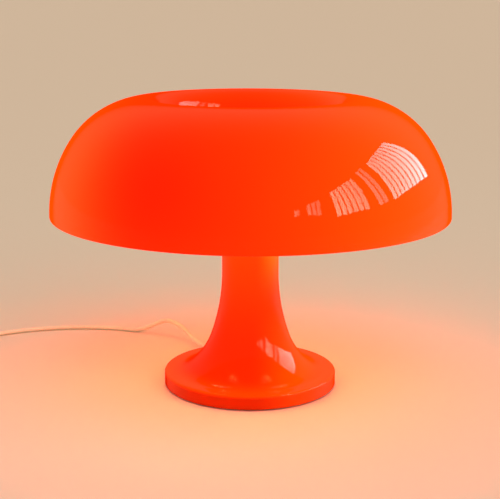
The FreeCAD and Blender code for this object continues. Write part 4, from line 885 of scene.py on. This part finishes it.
inner_route = [(*around(out, 0, CORD_AZIMUTH), EXIT_HEIGHT) for out in (BLOCK_OUTER, 60.0, 73.0, BOOT_END)]
for name, route, radius, slot, node in (
    ("lead_in_foot", inner_route, CORD_RADIUS, "cord_sheath", "inner_lead"),
    ("brown_wire", wire_route(-1, HOLDER_HEIGHT + RING_APART), WIRE_RADIUS, "live_insulation", "live_wire"),
    ("blue_wire", wire_route(1, HOLDER_HEIGHT - RING_APART), WIRE_RADIUS, "neutral_insulation", "neutral_wire"),
):
    stand_for(lay_cord(name, route, radius), "base", slot, node)

# %% [markdown]
# ## The switch in the cord
# The switch is two cream half shells with a rocker. Each half is a block whose upright corners and outer rim are
# rounded, and the rocker's opening is cut through the upper half.

# %% Shape the switch's halves
SWITCH_X, SWITCH_Y, SWITCH_WIDTH, SWITCH_LENGTH, SWITCH_HEIGHT = -262.0, 43.0, 24.0, 62.0, 15.0
SWITCH_CORNER, SWITCH_RIM, HALVES_APART = 5.0, 1.6, 0.2
OPENING_WIDTH, OPENING_LENGTH = 10.6, 20.6


def pick_edges(piece, wanted):
    """Select the edges whose two ends are as wanted."""
    bpy.ops.mesh.select_all(action="DESELECT")
    bpy.ops.object.mode_set(mode="OBJECT")
    spots = piece.data.vertices
    for edge in piece.data.edges:
        edge.select = wanted(spots[edge.vertices[0]].co, spots[edge.vertices[1]].co)
    bpy.ops.object.mode_set(mode="EDIT")


def half_shell(name, bottom, top, outer):
    """One half of the switch. outer is the height of its rounded outer face."""
    half = block((SWITCH_X, SWITCH_Y, (bottom + top) / 2), (SWITCH_WIDTH, SWITCH_LENGTH, top - bottom))
    half.name = name
    bpy.ops.object.transform_apply(location=True, rotation=False, scale=True)
    bpy.ops.object.mode_set(mode="EDIT")
    bpy.ops.mesh.select_mode(type="EDGE")
    pick_edges(half, lambda first, second: abs(first.z - second.z) > 1 * MM)
    bpy.ops.mesh.bevel(offset=SWITCH_CORNER * MM, segments=8, affect="EDGES")
    pick_edges(half, lambda first, second: max(abs(end.z - outer * MM) for end in (first, second)) < 0.01 * MM)
    bpy.ops.mesh.bevel(offset=SWITCH_RIM * MM, segments=5, affect="EDGES")
    bpy.ops.object.mode_set(mode="OBJECT")
    return half


def round_edges(piece, width, segments, sharp):
    """Round the edges that turn by more than an angle, with a Bevel modifier."""
    rounding = piece.modifiers.new("rounding", "BEVEL")
    rounding.width = width * MM
    rounding.segments = segments
    rounding.limit_method = "ANGLE"
    rounding.angle_limit = radians(sharp)
    take(piece)
    bpy.ops.object.modifier_apply(modifier=rounding.name)


lower_half = half_shell("switch_half_lower", 0.0, SWITCH_HEIGHT / 2 - HALVES_APART / 2, 0.0)
upper_half = half_shell("switch_half_upper", SWITCH_HEIGHT / 2 + HALVES_APART / 2, SWITCH_HEIGHT, SWITCH_HEIGHT)
cut_away(upper_half, block((SWITCH_X, SWITCH_Y, SWITCH_HEIGHT), (OPENING_WIDTH, OPENING_LENGTH, SWITCH_HEIGHT)))
round_edges(upper_half, 0.4, 2, 60)
for half, node in ((lower_half, "switch_lower_housing"), (upper_half, "switch_upper_housing")):
    take(half)
    bpy.ops.object.shade_smooth_by_angle(angle=radians(35))
    stand_for(half, "base", "switch_plastic", node)

# %% [markdown]
# ## The plug
# The plug is one soft moulding: flat, wide at the pins and narrow at the cord, with a ringed boot and three
# grooves on each broad face to grip it by.

# %% Shape the plug
PLUG_X, PLUG_BACK, PLUG_FACE, PLUG_HEIGHT, PLUG_MIDDLE = -332.0, 47.0, 82.0, 14.0, 7.0
PLUG_WIDTH, PLUG_BACK_WIDTH, PLUG_SHOULDER = 26.0, 11.0, 22.0
GRIP_GROOVES, GRIP_START, GRIP_PITCH, GRIP_RADIUS, GRIP_LIFT = 3, 8.0, 4.0, 0.9, 0.3
PLUG_BOOT_START, PLUG_BOOT_TIP, PLUG_BOOT_RADIUS = 33.0, 2.9, 4.6
PLUG_RINGS, PLUG_RINGS_START, PLUG_RING_PITCH = 3, 1.5, 3.6
plug = block((PLUG_X, (PLUG_BACK + PLUG_FACE) / 2, PLUG_MIDDLE),
             (PLUG_WIDTH, PLUG_FACE - PLUG_BACK, PLUG_HEIGHT))
plug.name = "plug_moulded"
bpy.ops.object.transform_apply(location=True, rotation=False, scale=True)
bpy.ops.object.mode_set(mode="EDIT")
bpy.ops.mesh.select_all(action="SELECT")
bpy.ops.mesh.bisect(plane_co=(0, (PLUG_BACK + PLUG_SHOULDER) * MM, 0), plane_no=(0, 1, 0))
pick_edges(plug, lambda first, second: max(first.y, second.y) < (PLUG_BACK + 0.01) * MM)
bpy.ops.transform.resize(value=(PLUG_BACK_WIDTH / PLUG_WIDTH, 1, 1),
                         center_override=metres((PLUG_X, PLUG_BACK, PLUG_MIDDLE)))
bpy.ops.object.mode_set(mode="OBJECT")
round_edges(plug, 2.4, 5, 20)

# %% Cut the grip's grooves and add the ringed boot
for groove in range(GRIP_GROOVES):
    for face in (-1, 1):
        deselect()
        height = PLUG_MIDDLE + face * (PLUG_HEIGHT / 2 + GRIP_LIFT)
        bpy.ops.mesh.primitive_cylinder_add(
            vertices=16, radius=GRIP_RADIUS * MM, depth=2 * PLUG_WIDTH * MM, rotation=(0, radians(90), 0),
            location=metres((PLUG_X, PLUG_BACK + GRIP_START + GRIP_PITCH * groove, height)))
        cut_away(plug, bpy.context.object)
plug_boot_line = [(PLUG_BOOT_TIP, PLUG_BOOT_START)]
for ring in range(PLUG_RINGS):
    start = PLUG_BOOT_START + PLUG_RINGS_START + PLUG_RING_PITCH * ring
    reach = taper((PLUG_BOOT_TIP, PLUG_BOOT_START), (PLUG_BOOT_RADIUS, PLUG_BACK), start)
    plug_boot_line += [(reach, start), (reach - 0.5, start + 0.3), (reach - 0.5, start + 1.1),
                       (reach + 0.2, start + 1.4)]
plug_boot_line += [(PLUG_BOOT_RADIUS, PLUG_BACK - 0.2), (PLUG_BOOT_RADIUS, PLUG_BACK + 2.0)]
plug_boot = set_down(
    turn_up("plug_boot", plug_boot_line, sides=32),
    Matrix.Translation(metres((PLUG_X, 0, PLUG_MIDDLE))) @ Matrix.Rotation(radians(-90), 4, "X"))
plug = joined("plug_moulded", [plug, plug_boot])
bpy.ops.object.shade_smooth_by_angle(angle=radians(35))
stand_for(plug, "base", "switch_plastic", "plug_body")

# %% [markdown]
# ## Cord finish
# The cord's sheath is soft cream PVC: hardly glossy, with a faint unevenness from the extruder.

# %% Finish the cord
for piece in (lead, flex):
    paint(piece, finishes["cord_sheath"])
    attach(piece, "base")
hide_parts("cord_lead")
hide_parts("cord_tail", "cord_coil", "cord_end")

# %% [markdown]
# ## Floor and light
# A plain pale floor and soft studio light from above and both sides. The floor is see-through from underneath
# and for rays of only a few millimetres, so that the lamp's underside can be looked at and has light.

# %% Lay the floor
FLOOR_COLOUR = (0.80, 0.68, 0.54)
CONTACT = 4.0

deselect()
bpy.ops.mesh.primitive_circle_add(vertices=64, radius=60, fill_type="NGON", location=(0, 0, 0))
floor = bpy.context.object
floor.name = "floor"
material, shader, _ = new_material("pale floor")
feed(shader, {"Base Color": FLOOR_COLOUR, "Roughness": 0.6, "Specular IOR Level": 0.2})
from_below = new_node(shader, "NewGeometry").outputs["Backfacing"]
from_contact = reckon("LESS_THAN", new_node(shader, "LightPath").outputs["Ray Length"], CONTACT * MM)
chosen = new_node(shader, "MixShader", {
    0: reckon("MAXIMUM", from_below, from_contact), 1: shader.outputs[0],
    2: new_node(shader, "BsdfTransparent").outputs[0],
})
feed(shader.id_data.nodes["Material Output"], {"Surface": chosen.outputs[0]})
paint(floor, material)

# %% [markdown]
# The world has two colours: one for its light, and a paler one for what the eye, a reflection or glass sees of
# it, so that the background stays pale without more light on the lamp.

# %% Light the lamp
WORLD_LIGHT = (0.34, 0.22, 0.13)
WORLD_SEEN = (0.47, 0.35, 0.23)
SUN_COLOUR = (0.94, 0.98, 1.0)

world = bpy.data.worlds.new("pale sky")
bpy.context.scene.world = world
world.use_nodes = True
background = world.node_tree.nodes["Background"]
paths = new_node(background, "LightPath").outputs
seen = paths["Is Camera Ray"]
for kind in ("Is Glossy Ray", "Is Transmission Ray"):
    seen = reckon("MAXIMUM", seen, paths[kind])
feed(background, {"Color": tinted(seen, WORLD_LIGHT, WORLD_SEEN), "Strength": 1.0})


def new_lamp(name, kind, strength, colour):
    """A lamp that isn't seen in reflections."""
    light = bpy.data.lights.new(name, kind)
    light.energy = strength
    light.color = colour
    lamp = bpy.data.objects.new(name, light)
    bpy.context.scene.collection.objects.link(lamp)
    lamp.visible_glossy = False
    return lamp


for name, way, width, strength in (
    ("key_sun", (0.7, -0.8, 1.1), 70, 1.3),
    ("fill_sun", (-0.9, -0.4, 1.0), 90, 0.9),
):
    sun = new_lamp(name, "SUN", strength, SUN_COLOUR)
    sun.data.angle = radians(width)
    sun.rotation_euler = (-Vector(way)).to_track_quat("-Z", "Y").to_euler()

# %% [markdown]
# The glowing globes alone would light the table unevenly and with much noise. A small warm lamp under each globe
# does the same work smoothly.

# %% Add the bulbs' warm light
BULB_LIGHT = (1.0, 0.38, 0.09)
BULB_POWER = 0.25
LAMP_RADIUS = 12.0
BELOW_GLOBE = 14.0
for number, azimuth in enumerate(HOLDER_AZIMUTHS, 1):
    lamp = new_lamp(f"bulb_light_{number}", "POINT", BULB_POWER, BULB_LIGHT)
    lamp.data.shadow_soft_size = LAMP_RADIUS * MM
    lamp.location = metres((*around(globe_centre, 0, azimuth), HOLDER_HEIGHT - GLOBE_RADIUS - BELOW_GLOBE))
    lamp.visible_camera = False

# %% [markdown]
# ## The window in the gloss
# In the photograph a window with slats shows in the gloss of the shade. Five panes that only reflections can
# see give the same here. Their places follow from the picture: from the camera through each point where a pane
# is seen, on to the shade, and off it again as from a mirror, until it meets a plane a metre and a half away.

# %% Find where a reflection comes from
PICTURE_WIDTH, PICTURE_HEIGHT = 500, 499
WINDOW_DISTANCE = 1.5
EYE = camera.matrix_world.translation


def mirrored(piece, across, down):
    """Where a ray through a point of the picture meets a piece, and where it goes from there."""
    scale = camera.data.sensor_width / (camera.data.lens * PICTURE_WIDTH)
    ray = Vector(((across - PICTURE_WIDTH / 2) * scale, (PICTURE_HEIGHT / 2 - down) * scale, -1))
    ray = (camera.matrix_world.to_3x3() @ ray).normalized()
    met, spot, _, index = piece.ray_cast(EYE, ray)
    assert met, "the ray misses the piece"
    face = piece.data.polygons[index]
    weights = poly_3d_calc([piece.data.vertices[corner].co for corner in face.vertices], spot)
    normal = Vector()
    for weight, corner in zip(weights, face.vertices):
        normal += weight * piece.data.vertices[corner].normal
    return spot, ray.reflect(normal.normalized())


# %% Make a pane's light
PANE_COLOUR = (0.95, 0.93, 1.0)
DIMMER_SIDE = 0.6
SLAT_EDGE = (0.16, 0.32)


def pane_finish(name, slats, dim, bright):
    """Light whose strength grows along the pane and falls a little across it, with dark slats across it."""
    material, shader, place = new_material(name)
    across, along, _ = split(place.node.outputs["UV"])
    strength = reckon("MULTIPLY", spread(along, dim, bright), spread(across, 1.0, DIMMER_SIDE))
    if slats:
        slot = reckon("FRACT", reckon("MULTIPLY", across, slats))
        strength = reckon("MULTIPLY", strength, smooth_step(slot, *SLAT_EDGE))
    light = new_node(place, "Emission", {"Color": PANE_COLOUR, "Strength": strength})
    feed(shader.id_data.nodes["Material Output"], {"Surface": light.outputs[0]})
    shader.id_data.nodes.remove(shader)
    return material


# %% Hang the panes
def hang_pane(name, piece, corners, bulges, slats, dim, bright, steps=14):
    """A pane seen in a piece's gloss. Its four corners in the picture go round it from u=0, v=0 by u=1.

    The round shade bends the pane's long edges. bulges says by how much, at u=0 and at u=1.
    """
    first, second, third, fourth = [Vector(corner) for corner in corners]
    middle, way = mirrored(piece, *((first + second + third + fourth) / 4))
    centre = middle + way * WINDOW_DISTANCE
    deselect()
    bpy.ops.mesh.primitive_grid_add(x_subdivisions=steps, y_subdivisions=steps, size=2, location=(0, 0, 0))
    pane = bpy.context.object
    pane.name = name
    for vertex in pane.data.vertices:
        u, v = (vertex.co.x + 1) / 2, (vertex.co.y + 1) / 2
        point = (first * (1 - u) + second * u) * (1 - v) + (fourth * (1 - u) + third * u) * v
        along = (fourth - first) * (1 - u) + (third - second) * u
        bulge = (bulges[0] * (1 - u) + bulges[1] * u) * 4 * v * (1 - v)
        point += Vector((along.y, -along.x)).normalized() * bulge
        spot, ray = mirrored(piece, *point)
        vertex.co = spot + ray * ((centre - spot).dot(way) / ray.dot(way))
    paint(pane, pane_finish(name, slats, dim, bright))
    pane.visible_camera = pane.visible_diffuse = pane.visible_shadow = pane.visible_transmission = False
    print(name, "hangs at", [round(value, 2) for value in centre])


for name, corners, bulges, slats, dim, bright in (
    ("window_wide", ((365.5, 164.5), (383, 142.5), (427.5, 176), (394, 200)), (3.2, 8.5), 9, 20, 27),
    ("window_strip", ((354.5, 173.5), (360, 168.5), (389, 201), (379, 206)), (2.6, 3.2), 2, 14, 16),
    ("window_middle", ((328.5, 193.5), (351, 178.5), (370, 208.5), (336.5, 216.5)), (0.6, 2.6), 6, 33, 38),
    ("window_small", ((305.5, 206), (319, 200), (322, 215.5), (307, 215.5)), (0, 0), 3, 18, 22),
    ("window_spot", ((294, 211), (299.5, 210), (300, 216), (294.5, 216)), (0, 0), 0, 20, 22),
):
    hang_pane(name, shade, corners, bulges, slats, dim, bright)
